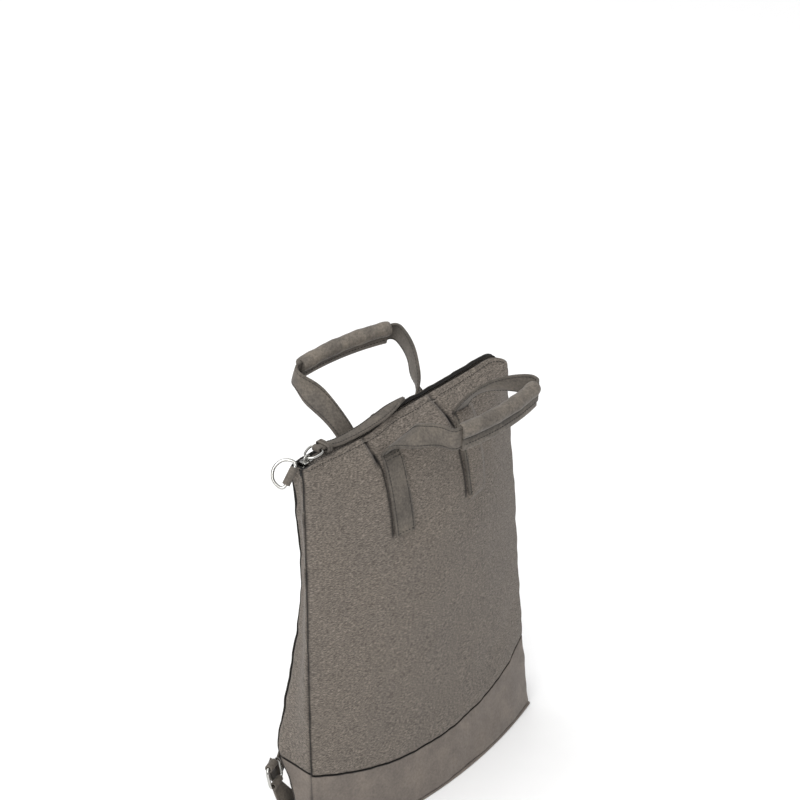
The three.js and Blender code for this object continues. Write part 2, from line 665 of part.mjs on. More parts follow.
// The ring at the middle of the back stands up from a tab that lies on the back wall
const BACK_RING_X = -6;
const BACK_RING_Z = 0.916 * HEIGHT;
const BACK_TAB_TONGUE = 18;
const eyeRadius = RING_WIRE / 2 + BORE_CLEARANCE + TAB_THICKNESS;
const onBack = (x, z) => backPoint(x / (halfWidth(z) - inset(z)), z);
const tongueEnd = onBack(BACK_RING_X, BACK_RING_Z - BACK_TAB_TONGUE);
const backUp = onBack(BACK_RING_X, BACK_RING_Z).sub(tongueEnd).normalize();
const backRingAt = onBack(BACK_RING_X, BACK_RING_Z).add(vec(0, eyeRadius + PAD, 0));
const alongX = vec(1, 0, 0);
const backRing = oriented(ring(RING_INNER, RING_REACH, 26), backRingAt, vec(0, 0.56, 0.83), alongX);
add('back_ring', backRing, SILVER, 0.2, 1);
add('back_ring_tab', oriented(tab(BACK_TAB_TONGUE, TAB_WIDTH), backRingAt, backUp, alongX), TRIM);

// Lower rings: each hangs on a wing that is sewn to the lower corner of the back wall
const LOWER_REACH = 20;
const LOWER_BAR_Z = 0.1525 * HEIGHT;
const LOWER_BAR_OUT = 2;
const LOWER_BAR_BEHIND = 11;
const lowerBarY = backSeam(LOWER_BAR_Z) + LOWER_BAR_BEHIND;
const LOWER_BAR_AT = vec(-BASE_WIDTH / 2 - LOWER_BAR_OUT, lowerBarY, LOWER_BAR_Z);
const LOWER_BAR = vec(0.97, 0.32, 0);
const LOWER_UP = vec(-0.16, 0.16, 0.97);
const WING_TOP = 15;
const WING_LOW = 9;
const WING_RIGHT = 40;
const mirrored = (v, side) => vec(-side * v.x, v.y, v.z);

function wing(side) {
  const bar = LOWER_BAR.clone().normalize();
  const edge = (u) => LOWER_BAR_AT.clone().addScaledVector(bar, (u - 0.5) * WING_TOP);
  const surface = (depth) => (u, v) => {
    const top = edge(u);
    const x = lerp(-BASE_WIDTH / 2 + 1 + u * WING_RIGHT, top.x, v);
    const z = lerp(WING_LOW, LOWER_BAR_AT.z - eyeRadius + 1, v);
    const on = backPoint(Math.max(-1, x / (halfWidth(z) - inset(z))), z).y + PAD;
    const y = lerp(on, top.y - TAB_THICKNESS, smooth(v)) + depth * 2 * TAB_THICKNESS;
    return mirrored(vec(x, y, z), side);
  };
  return wall(surface(1), surface(0), 5, 5);
}

// The shoulder strap: sewn flat beside the middle ring's tab, slack behind the bag, and up to its ring.
// x is a share of half the BASE_WIDTH, z of HEIGHT, and behind is the clear space to the back wall.
const CARRY_PATH = [
  { x: 0.17, z: 0.800, behind: 5 }, { x: 0.24, z: 0.655, behind: 17 }, { x: 0.38, z: 0.440, behind: 20 },
  { x: 0.58, z: 0.275, behind: 18 }, { x: 0.80, z: 0.180, behind: 12 }, { x: 0.94, z: 0.145, behind: 21 },
];
const CARRY_X = Math.abs(BACK_RING_X) + (TAB_WIDTH + CARRY_WIDTH) / 2 + 1.5;
const CARRY_SEWN = [0.935, 0.905, 0.875];
const EYE_WIDTH = 13;

function strapPlaces(eyeAt) {
  const away = PAD + CARRY_THICKNESS / 2;
  const sewn = CARRY_SEWN.map((z) => onBack(-CARRY_X, z * HEIGHT).add(vec(0, away, 0)));
  const slack = CARRY_PATH.map((row) => (
    onBack(-row.x * BASE_WIDTH / 2, row.z * HEIGHT).add(vec(0, away + row.behind, 0))
  ));
  const behindEye = RING_WIRE / 2 + BORE_CLEARANCE + CARRY_THICKNESS / 2;
  return [...sewn, ...slack, eyeAt.clone().add(vec(0, behindEye, 0))];
}

function shoulderStrap(side) {
  const eyeAt = LOWER_BAR_AT.clone().addScaledVector(LOWER_UP.clone().normalize(), LOWER_REACH);
  const curve = new THREE.CatmullRomCurve3(strapPlaces(eyeAt), false, 'centripetal');
  const steps = 48;
  const ringFace = LOWER_UP.clone().cross(LOWER_BAR).normalize();
  const half = (t) => lerp(CARRY_WIDTH, EYE_WIDTH, smooth((t - 0.86) / 0.12)) / 2;
  const thick = CARRY_THICKNESS / 2;
  const band = [];
  for (let i = 0; i <= steps; i += 1) {
    const t = i / steps;
    const at = curve.getPointAt(t);
    const along = curve.getTangentAt(t);
    const face = vec(0, 1, 0).lerp(ringFace, smooth((t - 0.7) / 0.3));
    const wide = face.clone().cross(along).normalize();
    const out = along.clone().cross(wide);
    band.push([-1, 1].map((w) => [-1, 1].map((k) => (
      at.clone().addScaledVector(wide, w * half(t)).addScaledVector(out, k * thick)
    ))));
  }
  const surface = (k) => (u, v) => mirrored(band[Math.round(v * steps)][Math.round(u)][k], side);
  const bore = RING_WIRE / 2 + BORE_CLEARANCE;
  return {
    eyeAt,
    band: wall(surface(0), surface(1), 1, steps),
    eye: tab(eyeRadius + 0.2, EYE_WIDTH, CARRY_THICKNESS),
    hole: new THREE.CylinderGeometry(bore, bore, EYE_WIDTH * 2, 20),
  };
}

for (const [name, side] of [['left', -1], ['right', 1]]) {
  const at = mirrored(LOWER_BAR_AT, side);
  const bar = mirrored(LOWER_BAR, side);
  const up = mirrored(LOWER_UP, side);
  const lowerRing = oriented(ring(RING_INNER, LOWER_REACH, 28, FLAT), at, up, bar);
  add(`${name}_lower_ring`, lowerRing, SILVER, 0.2, 1);
  const eye = oriented(tab(eyeRadius + 1.5, WING_TOP), at, up, bar);
  add(`${name}_wing`, join(wing(side), eye), TRIM);
  const strap = shoulderStrap(side);
  const eyeAt = mirrored(strap.eyeAt, side);
  const strapEye = oriented(strap.eye, eyeAt, up, bar);
  const hole = oriented(strap.hole, eyeAt, up, bar);
  add(`${name}_shoulder_strap`, cut(join(strap.band, strapEye), hole), TRIM);
}

export default bag;
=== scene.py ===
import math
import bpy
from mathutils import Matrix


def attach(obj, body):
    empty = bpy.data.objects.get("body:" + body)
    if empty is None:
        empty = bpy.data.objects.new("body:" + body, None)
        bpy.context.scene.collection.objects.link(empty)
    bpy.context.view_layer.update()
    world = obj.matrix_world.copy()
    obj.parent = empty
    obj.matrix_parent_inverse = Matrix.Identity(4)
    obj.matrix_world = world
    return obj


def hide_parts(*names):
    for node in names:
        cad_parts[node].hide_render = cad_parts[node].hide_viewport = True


bl_info = {
    "name": "Convertible Backpack",
    "version": (1, 0, 0),
    "blender": (4, 5, 0),
    "location": "View3D > Sidebar > Backpack",
    "description": "Sews the cloth, straps, zip and rings of a convertible backpack over its frame",
    "category": "Mesh",
}

import bpy
import numpy as np
from mathutils import Matrix

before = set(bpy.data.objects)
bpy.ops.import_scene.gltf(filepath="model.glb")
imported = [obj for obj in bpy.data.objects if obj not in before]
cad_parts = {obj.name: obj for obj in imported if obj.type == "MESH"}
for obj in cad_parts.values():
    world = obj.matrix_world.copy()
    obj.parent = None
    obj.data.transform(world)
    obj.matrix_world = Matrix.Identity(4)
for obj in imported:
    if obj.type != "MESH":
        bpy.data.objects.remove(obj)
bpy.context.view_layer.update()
MM = 0.001

# Body, in millimetres, as the walls of the frame are laid out
HEIGHT = 400
BASE_WIDTH = 316
TOP_WIDTH = 278
SIDE_DEPTH = 56
CORNER_FORWARD = 25.5
TOP_SET_BACK = 4.3
FRONT_BULGE = 37
BACK_BULGE = 40
SIDE_FOLD = 2.5
BACK_INSET = 10
WALL = 2
GAP = 0.45
BASE_THICKNESS = 2.4
SEAM_AT_SIDE = 84
SEAM_AT_MIDDLE = 55
CORNER_DROP_LEFT = 3
CORNER_DROP_RIGHT = 13
CORNER_RUN = 18
TOP_TUCK = 8
TUCK_FROM = 0.95
TUCK_LEFT = (-0.42, -0.1)
TUCK_FADE = 0.84
PAD = 0.5

# Columns: at, front, side, belly, hump, fold, inset
SECTIONS = np.array([
    [0.00, 0.00, 0.61, 0.63, 0.84, 0.0, 0.0],
    [0.12, 0.16, 0.46, 0.57, 0.98, 0.0, 0.0],
    [0.16, 0.20, 0.56, 0.57, 0.88, 0.1, 0.1],
    [0.20, 0.25, 0.76, 0.58, 0.62, 0.2, 0.2],
    [0.24, 0.29, 0.86, 0.60, 0.46, 0.4, 0.4],
    [0.30, 0.35, 0.81, 0.66, 0.44, 0.5, 0.7],
    [0.45, 0.50, 0.59, 0.81, 0.50, 0.7, 1.0],
    [0.70, 0.72, 0.33, 1.00, 0.45, 1.0, 1.0],
    [0.90, 0.90, 0.31, 0.76, 0.26, 0.9, 0.4],
    [0.96, 0.96, 0.31, 0.52, 0.12, 0.7, 0.2],
    [1.00, 1.00, 0.31, 0.04, -0.04, 0.5, 0.0],
])
FRONT, SIDE, BELLY, HUMP, FOLD, INSET = range(1, 7)

# Handles
STRAP_WIDTH = 22
STRAP_THICKNESS = 2.4
ANCHOR_SPACING = 96
GRIP_TUBE = 14
GRIP_HEIGHT = 26
GRIP_WALL = 1.3
CORNER_RADIUS = 8
GRIP_LENGTH = 100

# Heights and the grip's middle are shares of HEIGHT, its x of ANCHOR_SPACING; leave and reach are in
# strap widths
HANDLES = [
    {
        "name": "front_handle", "face": -1, "patch": (0.77, 0.96), "arch": 0.38,
        "middle": (0.067, -0.234, 1.076), "along": (1, 0.003, 0.01), "arrive": (0, -0.93, -0.025),
        "legs": [
            {"leave": (-0.11, -0.19, 0.82), "reach": 0.66, "turned": 0.72, "through": (1.2, 0.31, 0.15)},
            {"leave": (0.14, -0.69, 1.7), "reach": 0.4, "turned": 0.98, "through": (-0.86, -1.51, 2.25)},
        ],
    },
    {
        "name": "back_handle", "face": 1, "patch": (0.72, 0.915), "arch": 0.29,
        "middle": (-0.003, 0.2085, 1.075), "along": (0.981, -0.186, 0.052), "arrive": (0, 0.92, 0.364),
        "legs": [
            {"leave": (-0.06, 0.16, 1.37), "reach": 0.4, "turned": 0.98, "through": (1.2, 0.34, 0.31)},
            {"leave": (-0.28, 0.45, 1.7), "reach": 1.4, "turned": 0.6, "through": (-0.3, -0.9, 0.4)},
        ],
    },
]

# Rings and their tabs
RING_WIRE = 3
RING_INNER = 20
RING_REACH = 17.5
TAB_WIDTH = 17
TAB_THICKNESS = 1.5
BORE_CLEARANCE = 0.35
EYE_RADIUS = RING_WIRE / 2 + BORE_CLEARANCE + TAB_THICKNESS
D_RING_INNER = 22
D_RING_REACH = 15.5
D_RING_OUT = 10
D_RING_BEHIND = 7.7
D_RING_DOWN = 4
D_RING_BAR = (-0.63, 0.03, -0.78)
D_RING_BOW = (-0.43, 0.82, 0.38)
D_TAB_OUT = (-0.78, 0, 0.63)
D_TAB_TONGUE = 4.6
BACK_RING_X = -6
BACK_RING_Z = 0.916 * HEIGHT
BACK_TAB_TONGUE = 18
LOWER_REACH = 20
LOWER_BAR_Z = 0.1525 * HEIGHT
LOWER_BAR_OUT = 2
LOWER_BAR_BEHIND = 11
LOWER_BAR = (0.97, 0.32, 0)
LOWER_UP = (-0.16, 0.16, 0.97)
WING_TOP = 15
WING_LOW = 9
WING_RIGHT = 40

# Shoulder straps
CARRY_WIDTH = 20
CARRY_THICKNESS = 2
CARRY_PATH = [
    (0.17, 0.800, 5), (0.24, 0.655, 17), (0.38, 0.440, 20),
    (0.58, 0.275, 18), (0.80, 0.180, 12), (0.94, 0.145, 21),
]
CARRY_SEWN = (0.935, 0.905, 0.875)
EYE_WIDTH = 13

# Zip
ZIP_SINK = 3
ZIP_SINK_CLOSED = 7.5
TAPE_THICKNESS = 1
TAPE_END = 12
COIL_WIDTH = 4.4
SLIDER_LENGTH = 13
SLIDER_WIDTH = 9
SLIDER_HEIGHT = 5.6
SLIDER_FROM_END = 13.6
PLATE = 1.1
BAIL_HEIGHT = 5.4
PULL_RING_INNER = 12
PULL_RING_WIRE = 2.2
PULL_RING_REACH = 14
PULL_WIDTH = 14
PULL_LENGTH = 114
PULL_THICKNESS = 1.6
RING_LEAN = 0.22

# The pull along its length: its width and how far it swerves, as shares of PULL_LENGTH and PULL_WIDTH
LEAF = np.array([
    [0.0, 0.60, 0.0], [0.1, 0.70, -0.07], [0.2, 0.78, -0.17], [0.35, 0.83, -0.22], [0.5, 0.88, -0.18],
    [0.65, 0.97, -0.06], [0.8, 0.92, 0.07], [0.93, 0.55, 0.14], [1.0, 0.16, 0.16],
])


def from_hex(text):
    """Linear red, green and blue of an sRGB hex colour."""
    channels = [int(text[i:i + 2], 16) / 255 for i in (1, 3, 5)]
    return [c / 12.92 if c <= 0.04045 else ((c + 0.055) / 1.055) ** 2.4 for c in channels]


# Curves and directions

def smooth(t):
    c = np.clip(t, 0, 1)
    return c * c * (3 - 2 * c)


def unit(v):
    v = np.asarray(v, float)
    return v / np.maximum(np.linalg.norm(v, axis=-1, keepdims=True), 1e-9)


def bump(x, centre, spread):
    return np.exp(-((x - centre) / spread) ** 2)


def spline(points, count, closed=False):
    """A centripetal curve through the points, as count + 1 places at equal steps along it."""
    p = np.asarray(points, float)
    if closed:
        p = np.vstack([p[-1], p, p[0], p[1]])
    else:
        p = np.vstack([2 * p[0] - p[1], p, 2 * p[-1] - p[-2]])
    out = []
    for a, b, c, d in zip(p[:-3], p[1:-2], p[2:-1], p[3:]):
        gaps = [max(np.linalg.norm(q - r), 1e-6) ** 0.5 for q, r in ((b, a), (c, b), (d, c))]
        knots = np.cumsum([0] + gaps)
        t = np.linspace(knots[1], knots[2], 25)[:-1, None]
        ab = (knots[1] - t) / (knots[1] - knots[0]) * a + (t - knots[0]) / (knots[1] - knots[0]) * b
        bc = (knots[2] - t) / (knots[2] - knots[1]) * b + (t - knots[1]) / (knots[2] - knots[1]) * c
        cd = (knots[3] - t) / (knots[3] - knots[2]) * c + (t - knots[2]) / (knots[3] - knots[2]) * d
        abc = (knots[2] - t) / (knots[2] - knots[0]) * ab + (t - knots[0]) / (knots[2] - knots[0]) * bc
        bcd = (knots[3] - t) / (knots[3] - knots[1]) * bc + (t - knots[1]) / (knots[3] - knots[1]) * cd
        across = (t - knots[1]) / (knots[2] - knots[1])
        out.append((1 - across) * abc + across * bcd)
    out.append(p[-2][None])
    return resample(np.vstack(out), count)


def resample(line, count):
    """count + 1 places at equal steps along a polyline."""
    line = np.asarray(line, float)
    along = np.concatenate([[0], np.cumsum(np.linalg.norm(np.diff(line, axis=0), axis=1))])
    wanted = np.linspace(0, along[-1], count + 1)
    return np.stack([np.interp(wanted, along, line[:, k]) for k in range(line.shape[1])], axis=1)


def length_of(line):
    return float(np.linalg.norm(np.diff(line, axis=0), axis=1).sum())


def tangents(line):
    return unit(np.gradient(np.asarray(line, float), axis=0))


# Body surface, with the frame's own formulas

def share(column, z):
    at = SECTIONS[:, 0]
    v = SECTIONS[:, column]
    last = len(at) - 1
    t = np.clip(np.asarray(z, float) / HEIGHT, 0, 1)
    i = np.clip(np.searchsorted(at, t, side="right"), 1, last)
    t0, t1 = at[i - 1], at[i]
    before = np.where(i >= 2, i - 2, i)
    after = np.where(i < last, i + 1, i - 1)
    t_before = at[before]
    t_after = at[np.clip(after, 0, last)]
    half = (t1 - t0) / 2
    wp = half / (t0 - t_before)
    wn = half / (t_after - t1)
    p = (t - t0) / (t1 - t0)
    pp, ppp = p * p, p * p * p
    return (
        (-wp * ppp + 2 * wp * pp - wp * p) * v[before]
        + ((1 + wp) * ppp + (-1.5 - 2 * wp) * pp + (-0.5 + wp) * p + 1) * v[i - 1]
        + ((-1 - wn) * ppp + (1.5 + wn) * pp + 0.5 * p) * v[i]
        + (wn * ppp - wn * pp) * v[after]
    )


def half_width(z):
    return (BASE_WIDTH + (TOP_WIDTH - BASE_WIDTH) * z / HEIGHT) / 2


def front_seam(z):
    return -CORNER_FORWARD + (TOP_SET_BACK + CORNER_FORWARD) * share(FRONT, z)


def back_seam(z):
    return front_seam(z) + SIDE_DEPTH * share(SIDE, z)


def inset(z):
    return BACK_INSET * share(INSET, z)


def top_line(u):
    drop = np.where(np.asarray(u) < 0, CORNER_DROP_LEFT, CORNER_DROP_RIGHT)
    into = np.maximum(0, CORNER_RUN - (1 - np.abs(u)) * TOP_WIDTH / 2) / CORNER_RUN
    return HEIGHT - drop * (1 - np.sqrt(1 - into * into * 0.98))


def seam_line(u):
    return SEAM_AT_MIDDLE + (SEAM_AT_SIDE - SEAM_AT_MIDDLE) * u * u


def tuck(u, z):
    """How far the front wall's top edge is drawn back to the zip, right of the open left end."""
    low, high = TUCK_LEFT
    grown = smooth((u - low) / (high - low))
    faded = smooth((u - TUCK_FADE) / (1 - TUCK_FADE))
    return TOP_TUCK * (grown - faded) * smooth((z / HEIGHT - TUCK_FROM) / (1 - TUCK_FROM))


def front_point(u, z, depth=0):
    u, z = np.broadcast_arrays(np.asarray(u, float), np.asarray(z, float))
    y = front_seam(z) - FRONT_BULGE * share(BELLY, z) * (1 - u * u) + tuck(u, z)
    return np.stack([u * (half_width(z) - depth * WALL), y + depth * WALL, z], axis=-1)


def back_point(u, z, depth=0):
    u, z = np.broadcast_arrays(np.asarray(u, float), np.asarray(z, float))
    y = back_seam(z) + BACK_BULGE * share(HUMP, z) * (1 - u * u)
    return np.stack([u * (half_width(z) - inset(z) - depth * WALL), y - depth * WALL, z], axis=-1)


def gusset_point(side, t, z):
    t, z = np.broadcast_arrays(np.asarray(t, float), np.asarray(z, float))
    y0, y1 = front_seam(z) + GAP, back_seam(z) - GAP
    folded = inset(z) * smooth(t) + SIDE_FOLD * share(FOLD, z) * np.sin(math.pi * t) ** 2
    return np.stack([side * (half_width(z) - folded), y0 + (y1 - y0) * t, z], axis=-1)


def on_back(x, z):
    return back_point(x / (half_width(z) - inset(z)), z)


def wave(x, seed, steps=((61, 1.0), (37, 0.6), (23, 0.35))):
    """A smooth, uneven ripple along x in millimetres, about 1 high, the same each time for one seed."""
    rng = np.random.default_rng(seed)
    return sum(size * np.sin(2 * math.pi * x / long + rng.uniform(0, 6.28)) for long, size in steps) / 1.4


def folds(x, z, seed, size, count=26):
    """Soft crossing swells over a panel; size is their length in millimetres."""
    rng = np.random.default_rng(seed)
    total = np.zeros(np.broadcast(x, z).shape)
    for _ in range(count):
        angle = rng.uniform(0, math.pi)
        long = size * rng.uniform(0.6, 1.8)
        turns = (x * math.cos(angle) + z * math.sin(angle)) / long
        total += np.sin(2 * math.pi * turns + rng.uniform(0, 6.28))
    return total / math.sqrt(count)


# Meshes

def mesh_object(name, points, faces, finish, sharp_angle=None, shade_and_edge_paint=None):
    """A smooth mesh from places in millimetres. Its last argument says how dark each point is drawn: painted
    shade in seams and folds, and on leather bands also their dark edge paint.
    """
    mesh = bpy.data.meshes.new(name)
    mesh.from_pydata((np.asarray(points, float) * MM).tolist(), [], [list(map(int, f)) for f in faces])
    mesh.validate()
    mesh.update()
    mesh.materials.append(material(finish))
    mesh.polygons.foreach_set("use_smooth", [True] * len(mesh.polygons))
    if sharp_angle:
        mesh.set_sharp_from_angle(angle=math.radians(sharp_angle))
    if shade_and_edge_paint is not None:
        mesh.attributes.new("shade_and_edge_paint", "FLOAT", "POINT").data.foreach_set("value", np.ravel(shade_and_edge_paint))
    made = bpy.data.objects.new(name, mesh)
    bpy.context.scene.collection.objects.link(made)
    return made


def piece(name, shape, finish, node=None, sharp_angle=None, shade_and_edge_paint=None, body="bag"):
    """A mesh that rides on its body, with the given finish, and hides the frame's node that it stands for."""
    made = mesh_object(name, *shape, finish, sharp_angle, shade_and_edge_paint)
    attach(made, body)
    if node:
        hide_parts(node)


def grid_faces(rows, columns, flip=False):
    index = np.arange(rows * columns).reshape(rows, columns)
    quads = np.stack([index[:-1, :-1], index[:-1, 1:], index[1:, 1:], index[1:, :-1]], axis=-1).reshape(-1, 4)
    return quads[:, ::-1] if flip else quads


# how far the middle of a panel stands above its edges
PUFF = 0.9


def marks(length, step, roll):
    """Places from 0 to 1 along an edge of that length: even in the middle, close where the cloth turns in."""
    near = np.array([0, 0.18, 0.42, 0.75, 1.15, 1.7]) * roll / 1.5
    middle = np.linspace(2.6 * roll / 1.5, length - 2.6 * roll / 1.5, max(2, int(length / step)))
    return np.concatenate([near, middle, (length - near)[::-1]]) / length


def cloth_panel(name, node, surface, relief, size, finish, seam_shade=None):
    """A panel with its four edges turned in. surface(a, b) gives places for shares across and up."""
    sizes = bpy.context.scene.backpack_sizes
    step, roll = sizes.cloth_step, sizes.seam_roll
    across, up = size
    a, b = np.meshgrid(marks(across, step, roll), marks(up, step, roll))
    p = surface(a, b)
    along_a = unit(np.gradient(p, axis=1))
    along_b = unit(np.gradient(p, axis=0))
    normal = unit(np.cross(along_a, along_b))
    step_a = np.linalg.norm(np.diff(p, axis=1), axis=-1)
    step_b = np.linalg.norm(np.diff(p, axis=0), axis=-1)
    from_left = np.concatenate([np.zeros((p.shape[0], 1)), np.cumsum(step_a, axis=1)], axis=1)
    from_low = np.concatenate([np.zeros((1, p.shape[1])), np.cumsum(step_b, axis=0)], axis=0)
    from_right = from_left[:, -1:] - from_left
    from_top = from_low[-1:] - from_low
    edge = np.minimum(np.minimum(from_left, from_right), np.minimum(from_low, from_top))
    height = relief(p, from_left, from_right, from_low, from_top) - PUFF * np.exp(-edge / 5)
    moved = p + normal * height[..., None]
    turned = np.zeros(edge.shape)
    turns = ((from_left, along_a), (from_right, -along_a), (from_low, along_b), (from_top, -along_b))
    for distance, inward in turns:
        into = np.clip(1 - distance / roll, 0, 1)
        drop = roll * (1 - np.sqrt(1 - into * into))
        turned = np.maximum(turned, drop)
        moved += inward * drop[..., None]
    moved -= normal * turned[..., None]
    # painted shade along the panel's edges: across both ends, and along the sides unless the wall gives its
    # own painted shade
    sides, ends = np.minimum(from_left, from_right), np.minimum(from_low, 2 * from_top)
    shade_and_edge_paint = np.exp(-(ends / 1.2) ** 2)
    shade_and_edge_paint = shade_and_edge_paint + (seam_shade(p, from_left, from_right) if seam_shade else np.exp(-(sides / 1.2) ** 2))
    shade_and_edge_paint = np.clip(shade_and_edge_paint, 0, 1)
    rows, columns = edge.shape
    points = moved.reshape(-1, 3)
    faces = [list(f) for f in grid_faces(rows, columns)]
    index = np.arange(rows * columns).reshape(rows, columns)
    rim = np.concatenate([index[0, :-1], index[:-1, -1], index[-1, :0:-1], index[:0:-1, 0]])
    lowered = points[rim] - normal.reshape(-1, 3)[rim] * WALL
    first = len(points)
    count = len(rim)
    for k in range(count):
        n = (k + 1) % count
        faces.append([rim[n], rim[k], first + k, first + n])
    # the turned-in rim is drawn fully in painted shade
    shade_and_edge_paint = np.concatenate([shade_and_edge_paint.ravel(), np.ones(count)])
    piece(name, (np.vstack([points, lowered]), faces), finish, node, shade_and_edge_paint=shade_and_edge_paint)
    return moved, normal


def sweep(section, at, wide, thick, closed=False, capped=True):
    """A section of (wide, thick) places carried along a path; gives points and faces."""
    section = np.asarray(section, float)
    rows, columns = len(at), len(section)
    if section.ndim == 2:
        section = np.broadcast_to(section, (rows, columns, 2))
    else:
        columns = section.shape[1]
    points = at[:, None] + wide[:, None] * section[..., :1] + thick[:, None] * section[..., 1:]
    index = np.arange(rows * columns).reshape(rows, columns)
    ahead = np.roll(index, -1, axis=0) if closed else index[1:]
    here = index if closed else index[:-1]
    side = np.roll(here, -1, axis=1)
    quads = np.stack([here, side, np.roll(ahead, -1, axis=1), ahead], axis=-1).reshape(-1, 4)
    faces = quads.tolist()
    if capped and not closed:
        faces.append(index[0, ::-1].tolist())
        faces.append(index[-1].tolist())
    return points.reshape(-1, 3), faces


def framed(at, wide):
    """Squares the wide direction to the path and gives the thickness direction."""
    along = tangents(at)
    wide = unit(wide - along * np.sum(wide * along, axis=1, keepdims=True))
    return wide, np.cross(along, wide)


# how far a band's stitches lie in from its edge, and how deep their channel is
STITCH_INSET = 2.2
STITCH_CHANNEL = 0.28


def strap_section(width, thickness, channel=STITCH_CHANNEL, crown=0.25, inner=STITCH_INSET):
    """One leather band: rounded edges, a sunk line where the stitches run, and a slight crown."""
    w, t = width / 2, thickness / 2
    top = [
        (w, 0.0), (w - 0.12 * t, 0.55 * t), (w - 0.5 * t, 0.92 * t), (w - 1.0 * t, t), (w - inner + 0.7, t),
        (w - inner, t - channel), (w - inner - 0.7, t), (w - inner - 2.2, t + crown * 0.7),
    ]
    left = [(-x, y) for x, y in top[::-1]]
    upper = top + [(0.0, t + crown)] + left
    lower = [(x, -y) for x, y in upper[::-1]][1:-1]
    return np.array(upper + lower)


def strap_shade_and_edge_paint(section, width, thickness):
    """How dark each point of a leather band's section is drawn: the dark edge paint on its rounded edges, and
    painted shade in the sunk stitch line on its upper face.
    """
    x, y = np.abs(section[:, 0]), np.abs(section[:, 1])
    painted = 0.2 * (x > width / 2 - 0.3 * thickness)
    # painted shade in the sunk stitch line
    sewn = 0.5 * (np.abs(x - (width / 2 - STITCH_INSET)) < 0.1) * (y > 0)
    return np.maximum(painted, sewn)


def join_parts(parts):
    points, faces, first = [], [], 0
    for p, f in parts:
        points.append(p)
        faces.extend([[i + first for i in face] for face in f])
        first += len(p)
    return np.vstack(points), faces


def stitch_row(line, normal, pitch=3.3, long=2.3, thick=0.8):
    """Short thread stitches along a line that lies on a surface."""
    count = max(1, int(length_of(line) / pitch))
    places = resample(np.hstack([line, normal]), count)
    middle = (places[1:] + places[:-1]) / 2
    along = unit(places[1:, :3] - places[:-1, :3])
    out = unit(middle[:, 3:])
    across = np.cross(along, out)
    rings = [(-0.36, 0.8), (0.0, 1.0), (0.36, 0.8)]
    sides = [(math.cos(k * math.pi / 3), math.sin(k * math.pi / 3)) for k in range(6)]
    parts = []
    template = [(-0.5, 0.0, -0.25)] + [
        (a, w * c * 0.5, w * s * 0.5) for a, w in rings for c, s in sides
    ] + [(0.5, 0.0, -0.25)]
    faces = [[0, 1 + (k + 1) % 6, 1 + k] for k in range(6)]
    for r in range(2):
        for k in range(6):
            n = (k + 1) % 6
            faces.append([1 + r * 6 + k, 1 + r * 6 + n, 7 + r * 6 + n, 7 + r * 6 + k])
    faces += [[19, 13 + k, 13 + (k + 1) % 6] for k in range(6)]
    for m, t, o, c in zip(middle[:, :3], along, out, across):
        points = [m + t * a * long + c * x * thick + o * ((y + 0.5) * thick - 0.1) for a, x, y in template]
        parts.append((np.array(points), faces))
    return join_parts(parts)


def tube(line, radius, sides=12, closed=True):
    """A round wire along a line in one plane."""
    line = np.asarray(line, float)
    if closed:
        along = unit(np.roll(line, -1, axis=0) - np.roll(line, 1, axis=0))
    else:
        along = tangents(line)
    centre = line.mean(axis=0)
    flat = unit(np.linalg.svd(line - centre)[2][2])
    wide = np.broadcast_to(flat, line.shape)
    thick = np.cross(along, wide)
    angles = np.linspace(0, 2 * math.pi, sides, endpoint=False)
    section = np.stack([np.cos(angles), np.sin(angles)], axis=1) * radius
    return sweep(section, line, wide, thick, closed)


# Materials

NOISE = "ShaderNodeTexNoise"
RAMP = "ShaderNodeValToRGB"
MAPPING = "ShaderNodeMapping"
BUMP = "ShaderNodeBump"
MIX = "ShaderNodeMix"
MULTIPLY = {"data_type": "RGBA", "blend_type": "MULTIPLY"}


def add_node(tree, kind, settings=None, values=None, links=None, stops=None):
    """Adds a node, sets its settings, inputs and colour stops, and feeds inputs from other sockets."""
    made = tree.nodes.new(kind)
    for key, value in (settings or {}).items():
        setattr(made, key, value)
    for key, value in (values or {}).items():
        made.inputs[key].default_value = value
    for key, socket in (links or {}).items():
        tree.links.new(socket, made.inputs[key])
    if stops:
        points = made.color_ramp.elements
        while len(points) < len(stops):
            points.new(0.5)
        for point, (position, color) in zip(points, stops):
            point.position = position
            point.color = color
    return made


def start_material(name):
    """An empty material with its shader and the piece's own coordinates in metres."""
    made = bpy.data.materials.new(name)
    made.use_nodes = True
    tree = made.node_tree
    tree.nodes.clear()
    shader = add_node(tree, "ShaderNodeBsdfPrincipled")
    add_node(tree, "ShaderNodeOutputMaterial", links={"Surface": shader.outputs["BSDF"]})
    place = add_node(tree, "ShaderNodeTexCoord").outputs["Object"]
    return made, tree, shader, place


def finish_shader(tree, shader, colour, lump=None, **values):
    """Feeds the shader its colour and bump, and sets on its own sockets what is the same all over."""
    tree.links.new(colour, shader.inputs["Base Color"])
    if lump:
        tree.links.new(lump.outputs[0], shader.inputs["Normal"])
    for key, value in values.items():
        shader.inputs[key.replace("_", " ")].default_value = value


def shade(color, factor):
    return [c * factor for c in color[:3]] + [1.0]


def darken_by_shade_and_edge_paint(tree, colour, dark):
    """Darkens a colour by each point's stored value: painted shade in seams and folds, and on leather bands
    also their dark edge paint.
    """
    shade_and_edge_paint = add_node(tree, "ShaderNodeAttribute", {"attribute_name": "shade_and_edge_paint"}).outputs["Fac"]
    stops = [(0.0, [1, 1, 1, 1]), (1.0, [dark, dark, dark, 1])]
    shadow = add_node(tree, RAMP, links={"Fac": shade_and_edge_paint}, stops=stops)
    return add_node(tree, MIX, MULTIPLY, {0: 1.0}, {6: colour, 7: shadow.outputs[0]}).outputs[2]


